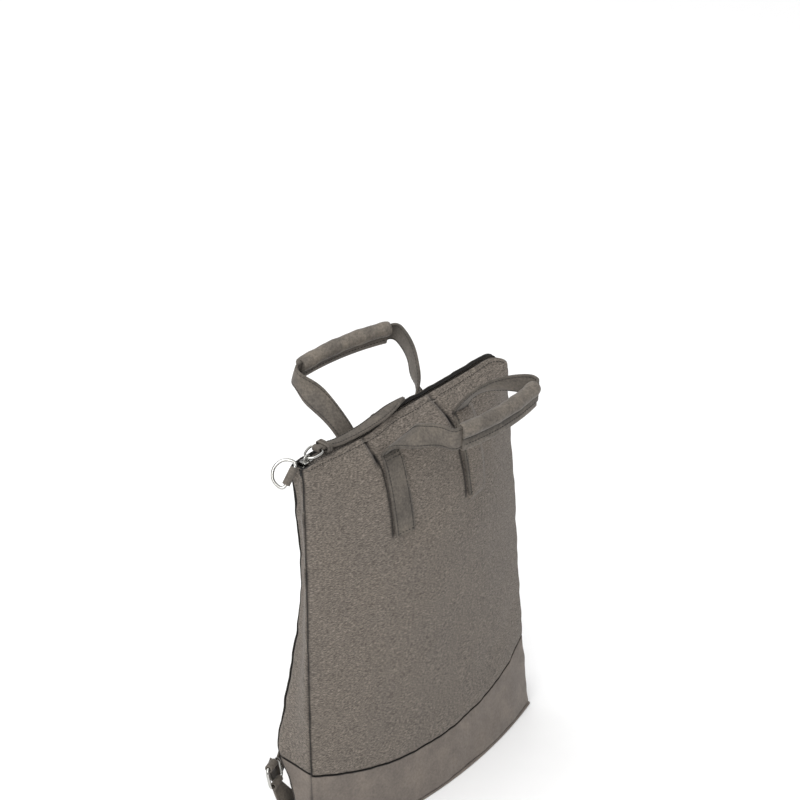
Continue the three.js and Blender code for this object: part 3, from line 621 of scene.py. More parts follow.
def heather_canvas(colours):
    """Woven heather canvas: mixed warm and grey yarns. Gives short level slubs, matt, with a little sheen."""
    made, tree, shader, place = start_material("heather_polyester_canvas_woven")
    base = colours.canvas
    # weft slubs about 2.6 mm long and 0.7 mm high, drawn coarser than the 0.4 mm yarn so that they show
    weft = add_node(tree, MAPPING, None, {"Scale": (0.8, 0.8, 3.0)}, {"Vector": place})
    slub = add_node(tree, NOISE, None, {"Scale": 480.0, "Detail": 3.0, "Roughness": 0.55},
                    {"Vector": weft.outputs[0]}).outputs[0]
    # warp yarns, drawn about 0.7 mm wide for the same reason
    warp = add_node(tree, MAPPING, None, {"Scale": (3.4, 3.4, 1.0)}, {"Vector": place})
    upright = add_node(tree, NOISE, None, {"Scale": 430.0, "Detail": 3.0, "Roughness": 0.6},
                       {"Vector": warp.outputs[0]}).outputs[0]
    cloud = add_node(tree, NOISE, None, {"Scale": 16.0, "Detail": 3.0, "Roughness": 0.55}, {"Vector": place})
    slub_colour = add_node(tree, RAMP, links={"Fac": slub}, stops=[
        (0.32, shade(base, 0.44)), (0.46, shade(base, 0.85)),
        (0.56, shade(base, 1.13)), (0.70, shade(base, 1.80)),
    ])
    warp_colour = add_node(tree, RAMP, links={"Fac": upright}, stops=[
        (0.32, [0.78, 0.78, 0.80, 1]), (0.5, [1, 1, 1, 1]), (0.7, [1.16, 1.15, 1.12, 1]),
    ])
    tint = add_node(tree, RAMP, links={"Fac": cloud.outputs[0]}, stops=[
        (0.35, [0.96, 0.96, 0.96, 1]), (0.65, [1.05, 1.04, 1.02, 1]),
    ])
    woven = add_node(tree, MIX, MULTIPLY, {0: 0.75}, {6: slub_colour.outputs[0], 7: warp_colour.outputs[0]})
    tinted = add_node(tree, MIX, MULTIPLY, {0: 0.8}, {6: woven.outputs[2], 7: tint.outputs[0]})
    threads = add_node(tree, "ShaderNodeMath", {"operation": "ADD"}, None, {0: slub, 1: upright})
    lump = add_node(tree, BUMP, None, {"Strength": 0.42, "Distance": 0.0006}, {"Height": threads.outputs[0]})
    # painted shade, drawn dark in the cloth's seams, pleats and turned edges
    finish_shader(tree, shader, darken_by_shade_and_edge_paint(tree, tinted.outputs[2], 0.04), lump, Roughness=0.88,
                  Sheen_Weight=0.08, Sheen_Roughness=0.45, Specular_IOR_Level=0.28)
    return made


def brushed_leather(name, base, contrast=1.0, grain=900.0):
    """Nubuck leather, buffed: a fine pore grain with soft brushed patches, nearly matt."""
    made, tree, shader, place = start_material(name)
    pores = add_node(tree, "ShaderNodeTexVoronoi", {"feature": "F1"}, {"Scale": grain, "Randomness": 1.0},
                     {"Vector": place})
    nap = add_node(tree, NOISE, None, {"Scale": 420.0, "Detail": 5.0, "Roughness": 0.65}, {"Vector": place})
    patches = add_node(tree, NOISE, None, {"Scale": 45.0, "Detail": 4.0, "Roughness": 0.6}, {"Vector": place})
    spread = 0.30 * contrast
    nap_colour = add_node(tree, RAMP, links={"Fac": nap.outputs[0]}, stops=[
        (0.32, shade(base, 1 - spread)), (0.5, shade(base, 1)), (0.68, shade(base, 1 + spread)),
    ])
    patch_colour = add_node(tree, RAMP, links={"Fac": patches.outputs[0]}, stops=[
        (0.36, [0.74, 0.74, 0.75, 1]), (0.52, [1, 1, 1, 1]), (0.68, [1.30, 1.28, 1.24, 1]),
    ])
    mixed = add_node(tree, MIX, MULTIPLY, {0: 0.85 * contrast},
                     {6: nap_colour.outputs[0], 7: patch_colour.outputs[0]})
    height = add_node(tree, "ShaderNodeMath", {"operation": "MULTIPLY_ADD"}, {1: 0.5},
                      {0: pores.outputs["Distance"], 2: nap.outputs[0]})
    lump = add_node(tree, BUMP, None, {"Strength": 0.34, "Distance": 0.0004}, {"Height": height.outputs[0]})
    # painted shade in seams, stitch channels and folds, and the dark edge paint of leather bands
    finish_shader(tree, shader, darken_by_shade_and_edge_paint(tree, mixed.outputs[2], 0.16), lump, Roughness=0.74,
                  Sheen_Weight=0.10, Sheen_Roughness=0.4, Specular_IOR_Level=0.36)
    return made


def speckled(tree, place, base, scale, low, high, detail=2.0):
    """A colour with fine specks, from low to high times its base."""
    speck = add_node(tree, NOISE, None, {"Scale": scale, "Detail": detail}, {"Vector": place})
    stops = [(0.3, shade(base, low)), (0.7, shade(base, high))]
    return add_node(tree, RAMP, links={"Fac": speck.outputs[0]}, stops=stops).outputs[0]


def knitted_tape(colours):
    """Warp-knitted polyester zip tape: fine ribs about 0.8 mm apart along its length."""
    made, tree, shader, place = start_material("polyester_zip_tape_knitted")
    rib = add_node(tree, "ShaderNodeTexWave", {"bands_direction": "Y"},
                   {"Scale": 200.0, "Distortion": 1.2, "Detail": 2.0, "Detail Scale": 3.0}, {"Vector": place})
    lump = add_node(tree, BUMP, None, {"Strength": 0.4, "Distance": 0.0003}, {"Height": rib.outputs["Fac"]})
    colour = speckled(tree, place, colours.tape, 700.0, 0.7, 1.3, 3.0)
    finish_shader(tree, shader, colour, lump, Roughness=0.85)
    return made


def nylon_coil(colours):
    """Coiled nylon monofilament: dark, smooth, slightly shiny."""
    made, tree, shader, place = start_material("nylon_coil_drawn")
    finish_shader(tree, shader, speckled(tree, place, colours.coil, 900.0, 0.8, 1.25), Roughness=0.42)
    return made


def polished_nickel(colours):
    """Nickel-plated zinc, polished: bright, with faint handling marks in its gloss."""
    made, tree, shader, place = start_material("nickel_plated_zinc_polished")
    rub = add_node(tree, NOISE, None, {"Scale": 260.0, "Detail": 4.0}, {"Vector": place}).outputs[0]
    stops = [(0.35, shade(colours.metal, 0.9)), (0.65, shade(colours.metal, 1))]
    colour = add_node(tree, RAMP, links={"Fac": rub}, stops=stops).outputs[0]
    gloss = add_node(tree, "ShaderNodeMapRange", None,
                     {"From Min": 0.3, "From Max": 0.7, "To Min": 0.12, "To Max": 0.24}, {"Value": rub})
    tree.links.new(gloss.outputs[0], shader.inputs["Roughness"])
    lump = add_node(tree, BUMP, None, {"Strength": 0.05, "Distance": 0.0002}, {"Height": rub})
    finish_shader(tree, shader, colour, lump, Metallic=1.0)
    return made


def bonded_thread(colours):
    """Bonded nylon thread, twisted: darker than the leather, satin."""
    made, tree, shader, place = start_material("nylon_thread_twisted")
    finish_shader(tree, shader, speckled(tree, place, colours.thread, 1400.0, 0.8, 1.2), Roughness=0.6)
    return made


def plain_floor(colours):
    """White studio paper, uncoated: matt, with the faintest fibre."""
    made, tree, shader, place = start_material("paper_backdrop_matt")
    fibre = add_node(tree, NOISE, None, {"Scale": 40.0}, {"Vector": place})
    stops = [(0.0, shade(colours.paper, 1)), (1.0, shade(colours.paper, 0.92 / 0.90))]
    colour = add_node(tree, RAMP, links={"Fac": fibre.outputs[0]}, stops=stops).outputs[0]
    finish_shader(tree, shader, colour, Roughness=0.9, Specular_IOR_Level=0.1)
    return made


MATERIALS = {}


def material(finish):
    """Makes each material once, when a piece first asks for it."""
    colours = bpy.context.scene.backpack_colours
    makers = {
        "canvas": heather_canvas,
        "trim": lambda c: brushed_leather("nubuck_leather_buffed", c.trim),
        # the same leather, drawn lighter on the grip's wrap as painted light for the light it catches there,
        # and more uneven
        "wrap": lambda c: brushed_leather("nubuck_leather_buffed_painted_light", shade(c.trim, 1.22), 1.1),
        # coated canvas, embossed with a leather grain: coarser pores and a calmer colour
        "band": lambda c: brushed_leather("coated_canvas_embossed", c.band, 0.55, 700.0),
        "tape": knitted_tape,
        "coil": nylon_coil,
        "metal": polished_nickel,
        "thread": bonded_thread,
        "paper": plain_floor,
    }
    if finish not in MATERIALS:
        MATERIALS[finish] = makers[finish](colours)
    return MATERIALS[finish]


def colour_property(name, description, colour):
    return bpy.props.FloatVectorProperty(name=name, description=description, subtype="COLOR", default=colour)


class BackpackColours(bpy.types.PropertyGroup):
    canvas: colour_property("Canvas", "Heather canvas of the walls", from_hex("#655e57"))
    trim: colour_property("Leather", "Handles, straps, tabs and pull", from_hex("#58524b"))
    band: colour_property("Base band", "Lower band and bottom", from_hex("#69615a"))
    tape: colour_property("Zip tape", "Knitted tapes of the zip", from_hex("#6a635c"))
    coil: colour_property("Zip coil", "Nylon coil of the zip", from_hex("#5c5650"))
    metal: colour_property("Metal", "Rings and zip slider", from_hex("#b9b8b4"))
    thread: colour_property("Thread", "Stitches", from_hex("#2b2825"))
    paper: colour_property("Paper", "Floor of the stage", (0.90, 0.90, 0.90))


class BackpackSizes(bpy.types.PropertyGroup):
    cloth_step: bpy.props.FloatProperty(
        name="Cloth step", description="Spacing of the cloth's mesh, in millimetres",
        default=1.6, min=1.0, max=8.0)
    fold_height: bpy.props.FloatProperty(
        name="Fold height", description="Height of the soft swells in the walls, in millimetres",
        default=0.55, min=0.0, max=2.0)
    fold_length: bpy.props.FloatProperty(
        name="Fold length", description="Length of the soft swells, in millimetres",
        default=70.0, min=20.0, max=200.0)
    seam_roll: bpy.props.FloatProperty(
        name="Seam roll", description="Radius of the cloth's turned edges, in millimetres",
        default=1.5, min=0.5, max=3.0)
    stitch_pitch: bpy.props.FloatProperty(
        name="Stitch pitch", description="Distance from stitch to stitch, in millimetres",
        default=3.3, min=2.0, max=6.0)


# Cloth walls

HEM_DOWN = 6.5
# the rim of the bottom from its upper face round to its lower one: inset and height
BOTTOM_RIM = ((2.6, 2.4), (1.2, 2.4), (0.35, 2.0), (0.0, 1.3), (0.3, 0.5), (1.1, 0.0), (3.0, 0.0))


def seam_groove(left, right):
    """How deep the cloth is drawn in along the upright corner seams, in millimetres."""
    return 1.5 * (np.exp(-(left / 2.6) ** 2) + np.exp(-(right / 2.6) ** 2))


def corner_wiggle(z):
    """How far the upright corner seams stand out or in, in millimetres."""
    return 0.55 * wave(z, 3, ((47, 1.0), (29, 0.7), (17, 0.4)))


def front_relief(p, left, right, low, top):
    sizes = bpy.context.scene.backpack_sizes
    x, z = p[..., 0], p[..., 2]
    height = sizes.fold_height * folds(x, z, 11, sizes.fold_length)
    height = height + corner_wiggle(z) * (np.exp(-left / 12) + np.exp(-right / 12)) - seam_groove(left, right)
    height = height + 0.35 * wave(x, 8, ((31, 1.0), (19, 0.8), (11, 0.4))) * np.exp(-np.minimum(low, top) / 9)
    height = height - 0.4 * bump(top, HEM_DOWN, 1.1) * smooth((z - 300) / 10)
    for at in (-ANCHOR_SPACING / 2, ANCHOR_SPACING / 2):
        side = at - STRAP_WIDTH / 2
        above = smooth((z - 370) / 14) * smooth((404 - z) / 8)
        # a pleat along the leg's left side with a swell next to it, and a dent below the patch
        height = height - 4.2 * above * bump(x, side - 2, 4.0)
        height = height + 1.6 * above * bump(x, side - 10, 6.0)
        height = height - 0.9 * bump(x, at, 16) * bump(z, 300, 14)
    # a swell of the cloth that lies over most of the right patch
    across = smooth((x - 38.5) / 3.5) * (1 - smooth((x - 59) / 12))
    return height + 4.6 * across * smooth((z - 299) / 9) * (1 - smooth((z - 381) / 9))


def front_crease(p, left, right):
    """Shadow in the upright seams, along the left side of both patches and in the pleats above them."""
    x, z = p[..., 0], p[..., 2]
    dark = np.exp(-(np.minimum(left, right) / 2.3) ** 4)
    for at in (-ANCHOR_SPACING / 2, ANCHOR_SPACING / 2):
        side = at - STRAP_WIDTH / 2
        beside = smooth((z - 305) / 4) * (1 - smooth((z - 384) / 4))
        dark = dark + 0.95 * beside * bump(x, side - 1.3, 1.5)
        pleat = smooth((z - 374) / 8) * (1 - smooth((z - 396) / 6))
        dark = dark + 0.7 * pleat * bump(x, side - 2, 2.2)
    return dark


def side_crease(p, left, right):
    """The side wall is in shadow where it meets the front wall."""
    front = right if p[0, 0, 0] < 0 else left
    return np.exp(-(front / 2.6) ** 2)


def back_relief(p, left, right, low, top):
    sizes = bpy.context.scene.backpack_sizes
    x, z = p[..., 0], p[..., 2]
    height = sizes.fold_height * folds(x, z, 23, sizes.fold_length * 1.1)
    height = height + corner_wiggle(z) * (np.exp(-left / 12) + np.exp(-right / 12))
    return height + 0.35 * wave(x, 9, ((33, 1.0), (21, 0.8), (12, 0.4))) * np.exp(-np.minimum(low, top) / 9)


def side_relief(p, left, right, low, top):
    sizes = bpy.context.scene.backpack_sizes
    y, z = p[..., 1], p[..., 2]
    height = 0.6 * sizes.fold_height * folds(y, z, 31, sizes.fold_length * 0.8)
    return height + corner_wiggle(z) * (np.exp(-left / 12) + np.exp(-right / 12)) - seam_groove(left, right)


def stretch(line, low, high):
    """Shares from 0 to 1 up a wall become heights between two lines."""
    return low + (high - low) * line


class BACKPACK_OT_walls(bpy.types.Operator):
    """Sews the front and back walls, the gussets, the base band and the bottom"""
    bl_idname = "backpack.walls"
    bl_label = "Walls"

    def execute(self, context):
        walls = (("front", front_point, front_relief, 1), ("back", back_point, back_relief, -1))
        for name, point, relief, way in walls:
            def upper(a, b, point=point, way=way):
                u = (2 * a - 1) * way
                return point(u, stretch(b, seam_line(u) + GAP / 2, top_line(u)))

            def lower(a, b, point=point, way=way):
                u = (2 * a - 1) * way
                return point(u, stretch(b, BASE_THICKNESS + GAP, seam_line(u) - GAP / 2))

            seam_shade = front_crease if name == "front" else None
            surface, normal = cloth_panel(f"{name}_wall", f"{name}_panel", upper, relief, (310, 330),
                                          "canvas", seam_shade)
            if name == "front":
                self.hem_stitches(surface, normal)
            cloth_panel(f"{name}_base_band", f"{name}_base_panel", lower, relief, (316, 66), "band")
        for name, side in (("left", -1), ("right", 1)):
            def upper_side(a, b, side=side):
                return gusset_point(side, a if side > 0 else 1 - a,
                                    stretch(b, SEAM_AT_SIDE + GAP / 2, top_line(side)))

            def lower_side(a, b, side=side):
                return gusset_point(side, a if side > 0 else 1 - a,
                                    stretch(b, BASE_THICKNESS + GAP, SEAM_AT_SIDE - GAP / 2))

            cloth_panel(f"{name}_side_wall", f"{name}_gusset", upper_side, side_relief, (30, 313), "canvas",
                        side_crease)
            cloth_panel(f"{name}_base_side", f"{name}_base_gusset", lower_side, side_relief, (40, 81), "band",
                        side_crease)
        self.bottom()
        return {"FINISHED"}

    def hem_stitches(self, surface, normal):
        top = np.linalg.norm(surface - surface[-1:], axis=-1)
        row = int(np.argmin(np.abs(top[:, top.shape[1] // 2] - HEM_DOWN)))
        line, out = surface[row, 8:-8], normal[row, 8:-8]
        pitch = bpy.context.scene.backpack_sizes.stitch_pitch
        piece("front_hem_stitches", stitch_row(line, out, pitch), "thread")

    def bottom(self):
        front = [front_point(u, 0)[:2] for u in np.linspace(-1, 1, 61)]
        back = [back_point(u, 0)[:2] for u in np.linspace(1, -1, 61)]
        outline = resample(np.vstack([front, back, front[:1]]), 360)[:-1]
        centre = outline.mean(axis=0)
        along = unit(np.roll(outline, -1, axis=0) - np.roll(outline, 1, axis=0))
        inward = np.stack([-along[:, 1], along[:, 0]], axis=1)
        rows = []
        for inset_by, z in BOTTOM_RIM:
            rows.append(np.hstack([outline + inward * inset_by, np.full((len(outline), 1), z)]))
        points = np.vstack(rows)
        n = len(outline)
        index = np.arange(len(points)).reshape(-1, n)
        faces = []
        for k in range(len(rows) - 1):
            for i in range(n):
                j = (i + 1) % n
                faces.append([index[k + 1, i], index[k + 1, j], index[k, j], index[k, i]])
        points = np.vstack([points, [[*centre, 2.4], [*centre, 0.0]]])
        for i in range(n):
            j = (i + 1) % n
            faces.append([index[0, i], index[0, j], len(points) - 2])
            faces.append([index[-1, j], index[-1, i], len(points) - 1])
        piece("bottom_board", (points, faces), "band", "bottom_panel", sharp_angle=50)


# Handles

def handle_lines(handle):
    """The strap's path with its wide direction, and the stretch that the grip wraps."""
    along = unit(handle["along"])
    centre = np.array(handle["middle"]) * [ANCHOR_SPACING, HEIGHT, HEIGHT]
    left, right = centre - along * GRIP_LENGTH / 2, centre + along * GRIP_LENGTH / 2
    arrive = np.array(handle["arrive"], float)
    arrive = unit(arrive - along * arrive.dot(along))
    edge = -np.cross(arrive, along)
    edge = edge if edge[2] > 0 else -edge
    face = handle["face"]
    point = front_point if face < 0 else back_point
    half = ANCHOR_SPACING / 2
    away = PAD + GAP + STRAP_THICKNESS / 2

    def patch(x, steps=30):
        z = HEIGHT * np.linspace(*handle["patch"], steps + 1)
        limit = point(1, z)[:, 0]
        middle = point(x / limit, z)
        wide = unit(point((x + STRAP_WIDTH / 2) / limit, z) - point((x - STRAP_WIDTH / 2) / limit, z))
        rise = unit(point(x / limit, z + 1) - point(x / limit, z - 1))
        return middle + np.cross(rise, wide) * face * away, wide

    def leg(start, end, sign, shape):
        corner = end - along * sign * (CORNER_RADIUS + 1)
        stop = corner - arrive * CORNER_RADIUS
        c1 = start + np.array(shape["leave"]) * STRAP_WIDTH
        c2 = stop - arrive * shape["reach"] * STRAP_WIDTH
        t = np.linspace(0, 1, 45)[1:, None]
        curve = (1 - t) ** 3 * start + 3 * (1 - t) ** 2 * t * c1 + 3 * (1 - t) * t * t * c2 + t ** 3 * stop
        turn = smooth(t / shape["turned"])
        flat, between = np.array([sign, 0, 0]), np.array(shape["through"], float)
        wide = unit(flat * (1 - turn) ** 2 + 2 * between * turn * (1 - turn) + edge * turn ** 2)
        s = np.linspace(0, 1, 13)[1:, None]
        q2 = corner + along * sign * CORNER_RADIUS
        bend = (1 - s) ** 2 * stop + 2 * (1 - s) * s * corner + s * s * q2
        return np.vstack([curve, bend]), np.vstack([wide, np.broadcast_to(edge, bend.shape)])

    left_patch, left_wide = patch(-half)
    right_patch, right_wide = patch(half)
    left_leg, left_leg_wide = leg(left_patch[-1], left, 1, handle["legs"][0])
    right_leg, right_leg_wide = leg(right_patch[-1], right, -1, handle["legs"][1])
    middle = centre + arrive * 2 * handle["arch"] * GRIP_TUBE
    t = np.linspace(0, 1, 41)[:, None]
    grip = (1 - t) ** 2 * left + 2 * (1 - t) * t * middle + t * t * right
    grip_wide = np.broadcast_to(edge, grip.shape)
    at = np.vstack([left_patch, left_leg, grip, right_leg[::-1], right_patch[::-1]])
    wide = np.vstack([left_wide, left_leg_wide, grip_wide, right_leg_wide[::-1], -right_wide[::-1]])
    return at, wide, grip, grip_wide, len(left_patch)


def grip_section():
    """The wrap's outside: a soft tube over the strap's edge, a sewn seam under it, and a flat lip."""
    radius = GRIP_TUBE / 2
    centre = GRIP_HEIGHT / 2 - radius
    lip = STRAP_THICKNESS / 2 + PAD + GRIP_WALL
    opening = math.pi - math.asin(lip / radius)
    points = []
    for angle in np.linspace(-opening, opening, 27):
        points.append((centre + radius * math.cos(angle), radius * math.sin(angle)))
    low = -GRIP_HEIGHT / 2
    under = points[-1][0]
    side = [(under - 0.9, lip - 0.35), (under - 2.2, lip - 0.05), (low + 3.0, lip), (low + 0.9, lip)]
    side += [(low + 0.25, lip - 0.3), (low, lip - 1.0), (low, 0.0)]
    points += side + [(x, -y) for x, y in side[-2::-1]]
    return np.array(points)


class BACKPACK_OT_handles(bpy.types.Operator):
    """Sews both carrying handles with their wrapped grips"""
    bl_idname = "backpack.handles"
    bl_label = "Handles"

    def execute(self, context):
        pitch = context.scene.backpack_sizes.stitch_pitch
        for handle in HANDLES:
            name = handle["name"]
            at, wide, grip, grip_wide, patch_end = handle_lines(handle)
            wide, thick = framed(at, wide)
            face = np.sign(np.dot(thick[2], [0, handle["face"], 0]))
            section = strap_section(STRAP_WIDTH, STRAP_THICKNESS)
            points, faces = sweep(section, at, wide, thick)
            # the band's dark edge paint and painted shade in its stitch channels, and painted shade where the
            # strap turns away from its sewn patches
            shade_and_edge_paint = np.tile(strap_shade_and_edge_paint(section, STRAP_WIDTH, STRAP_THICKNESS), (len(at), 1))
            shade_and_edge_paint[patch_end - 1:patch_end + 1] = 0.8
            shade_and_edge_paint[-patch_end - 1:-patch_end + 1] = 0.8
            piece(f"{name}_band", (points, faces), "trim", f"{name}_strap",
                  sharp_angle=70, shade_and_edge_paint=shade_and_edge_paint)
            rows = []
            inner = STRAP_WIDTH / 2 - STITCH_INSET
            surface = STRAP_THICKNESS / 2 - STITCH_CHANNEL
            for w in (-inner, inner):
                for k in (1, -1):
                    rows.append(stitch_row(at + wide * w + thick * k * surface, thick * k, pitch))
            for end in (slice(0, patch_end), slice(len(at) - patch_end, len(at))):
                rows += self.patch_rows(at[end], wide[end], thick[end] * face, pitch)
            piece(f"{name}_stitches", join_parts(rows), "thread")
            self.grip(name, grip, grip_wide, pitch)
        return {"FINISHED"}

    def patch_rows(self, at, wide, thick, pitch):
        """Cross rows at the low and high ends of the sewn patch."""
        rows = []
        w = np.linspace(-1, 1, 12)[:, None] * (STRAP_WIDTH / 2 - STITCH_INSET)
        ends = sorted([0, len(at) - 1], key=lambda i: at[i][2])
        low = ends[0]
        high = ends[1]
        inside = 1 if low == 0 else -1
        for i in (low + inside, high - inside, high - 2 * inside):
            line = at[i] + wide[i] * w + thick[i] * (STRAP_THICKNESS / 2 + 0.05)
            rows.append(stitch_row(line, np.broadcast_to(thick[i], line.shape), pitch))
        return rows

    def grip(self, name, grip, grip_wide, pitch):
        wide, thick = framed(grip, grip_wide)
        outer = grip_section()
        share_along = np.linspace(0, 1, len(grip))
        sections = np.repeat(outer[None], len(grip), axis=0)
        centre = GRIP_HEIGHT / 2 - GRIP_TUBE / 2
        tube_part = outer[:, 0] > centre - GRIP_TUBE * 0.35
        for i, s in enumerate(share_along):
            swell = 1 + 0.035 * math.sin(s * 21) + 0.02 * math.sin(s * 47 + 1)
            swell -= 0.10 * (math.exp(-s / 0.03) + math.exp(-(1 - s) / 0.03))
            sections[i, tube_part, 0] = centre + (outer[tube_part, 0] - centre) * swell
            sections[i, tube_part, 1] = outer[tube_part, 1] * swell
        inner = np.stack([
            np.clip(outer[:, 0], -STRAP_WIDTH / 2 - PAD, STRAP_WIDTH / 2 + PAD),
            np.clip(outer[:, 1], -STRAP_THICKNESS / 2 - PAD, STRAP_THICKNESS / 2 + PAD),
        ], axis=1)
        n = len(outer)
        out_points, out_faces = sweep(sections, grip, wide, thick, capped=False)
        in_points, in_faces = sweep(inner, grip, wide, thick, capped=False)
        in_faces = [f[::-1] for f in in_faces]
        points, faces = join_parts([(out_points, out_faces), (in_points, in_faces)])
        offset = len(out_points)
        last = (len(grip) - 1) * n
        for i in range(n):
            j = (i + 1) % n
            faces.append([j, i, offset + i, offset + j])
            faces.append([last + i, last + j, offset + last + j, offset + last + i])
        # painted shade in the seams where the wrap's tube meets its flat lips
        seam = np.zeros(n)
        seam[[27, n - 1]] = 0.9
        seam[[26, 28, n - 2, 0]] = 0.5
        shade_and_edge_paint = np.tile(seam, (2 * len(grip), 1))
        piece(f"{name}_wrap", (points, faces), "wrap", f"{name}_grip", sharp_angle=48, shade_and_edge_paint=shade_and_edge_paint)
        lip = STRAP_THICKNESS / 2 + PAD + GRIP_WALL
        rows = []
        for k in (1, -1):
            line = grip[1:-1] + wide[1:-1] * (-GRIP_HEIGHT / 2 + 6.2) + thick[1:-1] * k * (lip - 0.05)
            rows.append(stitch_row(line, thick[1:-1] * k, pitch))
        piece(f"{name}_wrap_stitches", join_parts(rows), "thread")


# Rings, tabs, wings and shoulder straps

BOW = [(0, 0.3), (0, 0.86), (0.13, 1), (0.45, 0.96), (0.8, 0.68), (1, 0)]
FLAT = [(0, 0.3), (0, 0.8), (0.14, 1), (0.5, 1.03), (0.86, 1), (1, 0.8), (1, 0.3)]


def ring_line(inner, wire, reach, half, steps=96):
    mirror = [(x, -y) for x, y in half if y > 0][::-1]
    points = [(x * reach, y * (inner + wire) / 2, 0) for x, y in half + mirror]
    return spline(points, steps, closed=True)[:-1]


def place(points, at, reach, bar):
    """Local X goes along reach and local Y along bar."""
    y = unit(bar)
    x = unit(np.asarray(reach, float) - y * np.dot(reach, y))
    return np.asarray(at, float) + points @ np.stack([x, y, np.cross(x, y)])


def mirrored(v, side):
    return np.array([-side * v[0], v[1], v[2]], float)


def folded_tab(tongue, width, thickness):
    """A band folded round a ring's bar: its path in local X and Z, and its width along local Y."""
    radius = RING_WIRE / 2 + BORE_CLEARANCE + thickness / 2
    start = math.asin(min(1, (thickness / 2 + 0.03) / radius))
    arc = [(radius * math.cos(a), 0, radius * math.sin(a))
           for a in np.linspace(-math.pi + start, math.pi - start, 33)]
    low = [(x, 0, arc[0][2]) for x in np.linspace(-tongue, arc[0][0], 8)[:-1]]
    high = [(x, 0, arc[-1][2]) for x in np.linspace(arc[-1][0], -tongue, 8)[1:]]
    path = np.array(low + arc + high)
    path = resample(path, 70)
    wide = np.broadcast_to(np.array([0.0, 1.0, 0.0]), path.shape)
    wide, thick = framed(path, wide)
    section = strap_section(width, thickness * 0.97, 0.14, 0.0, 1.6)
    points, faces = sweep(section, path, wide, thick)
    rows = []
    for k in (-1, 1):
        for w in (-1, 1):
            x = np.linspace(-tongue + 1.2, -radius - 0.4, 8)
            y, z = w * (width / 2 - 1.6), k * (thickness - 0.16)
            line = np.stack([x, np.full(8, y), np.full(8, z)], axis=1)
            if tongue > radius + 3:
                rows.append(stitch_row(line, np.broadcast_to([0.0, 0.0, k], line.shape), 2.4, 1.7, 0.5))
    return (points, faces), (join_parts(rows) if rows else None)


class BACKPACK_OT_rings(bpy.types.Operator):
    """Makes the two upper rings with their folded tabs"""
    bl_idname = "backpack.rings"
    bl_label = "Rings"

    def execute(self, context):
        z = float(top_line(-1)) - D_RING_DOWN
        at = (gusset_point(-1, 0.5, z)[0] - D_RING_OUT, TOP_SET_BACK + D_RING_BEHIND, z)
        points, faces = tube(ring_line(D_RING_INNER, RING_WIRE, D_RING_REACH, BOW), RING_WIRE / 2)
        piece("left_shoulder_ring", (place(points, at, D_RING_BOW, D_RING_BAR), faces), "metal",
              "left_d_ring", body="left_ring")
        (points, faces), _ = folded_tab(D_TAB_TONGUE, TAB_WIDTH, TAB_THICKNESS)
        piece("left_ring_fold", (place(points, at, D_TAB_OUT, D_RING_BAR), faces), "trim",
              "left_d_ring_tab", sharp_angle=60)
        points, faces = tube(ring_line(RING_INNER, RING_WIRE, RING_REACH, BOW), RING_WIRE / 2)
        base = on_back(BACK_RING_X, BACK_RING_Z)
        up = unit(base - on_back(BACK_RING_X, BACK_RING_Z - BACK_TAB_TONGUE))
        at = base + np.array([0, EYE_RADIUS + PAD, 0])
        hanging = place(points, at, (0, 0.56, 0.83), (1, 0, 0))
        piece("back_hanging_ring", (hanging, faces), "metal", "back_ring")
        (points, faces), sewn = folded_tab(BACK_TAB_TONGUE, TAB_WIDTH, TAB_THICKNESS)
        piece("back_ring_fold", (place(points, at, up, (1, 0, 0)), faces), "trim",
              "back_ring_tab", sharp_angle=60)
        piece("back_ring_stitches", (place(sewn[0], at, up, (1, 0, 0)), sewn[1]), "thread")
        return {"FINISHED"}


def lower_bar(side=-1):
    y = float(back_seam(LOWER_BAR_Z)) + LOWER_BAR_BEHIND
    at = np.array([-BASE_WIDTH / 2 - LOWER_BAR_OUT, y, LOWER_BAR_Z])
    return mirrored(at, side)


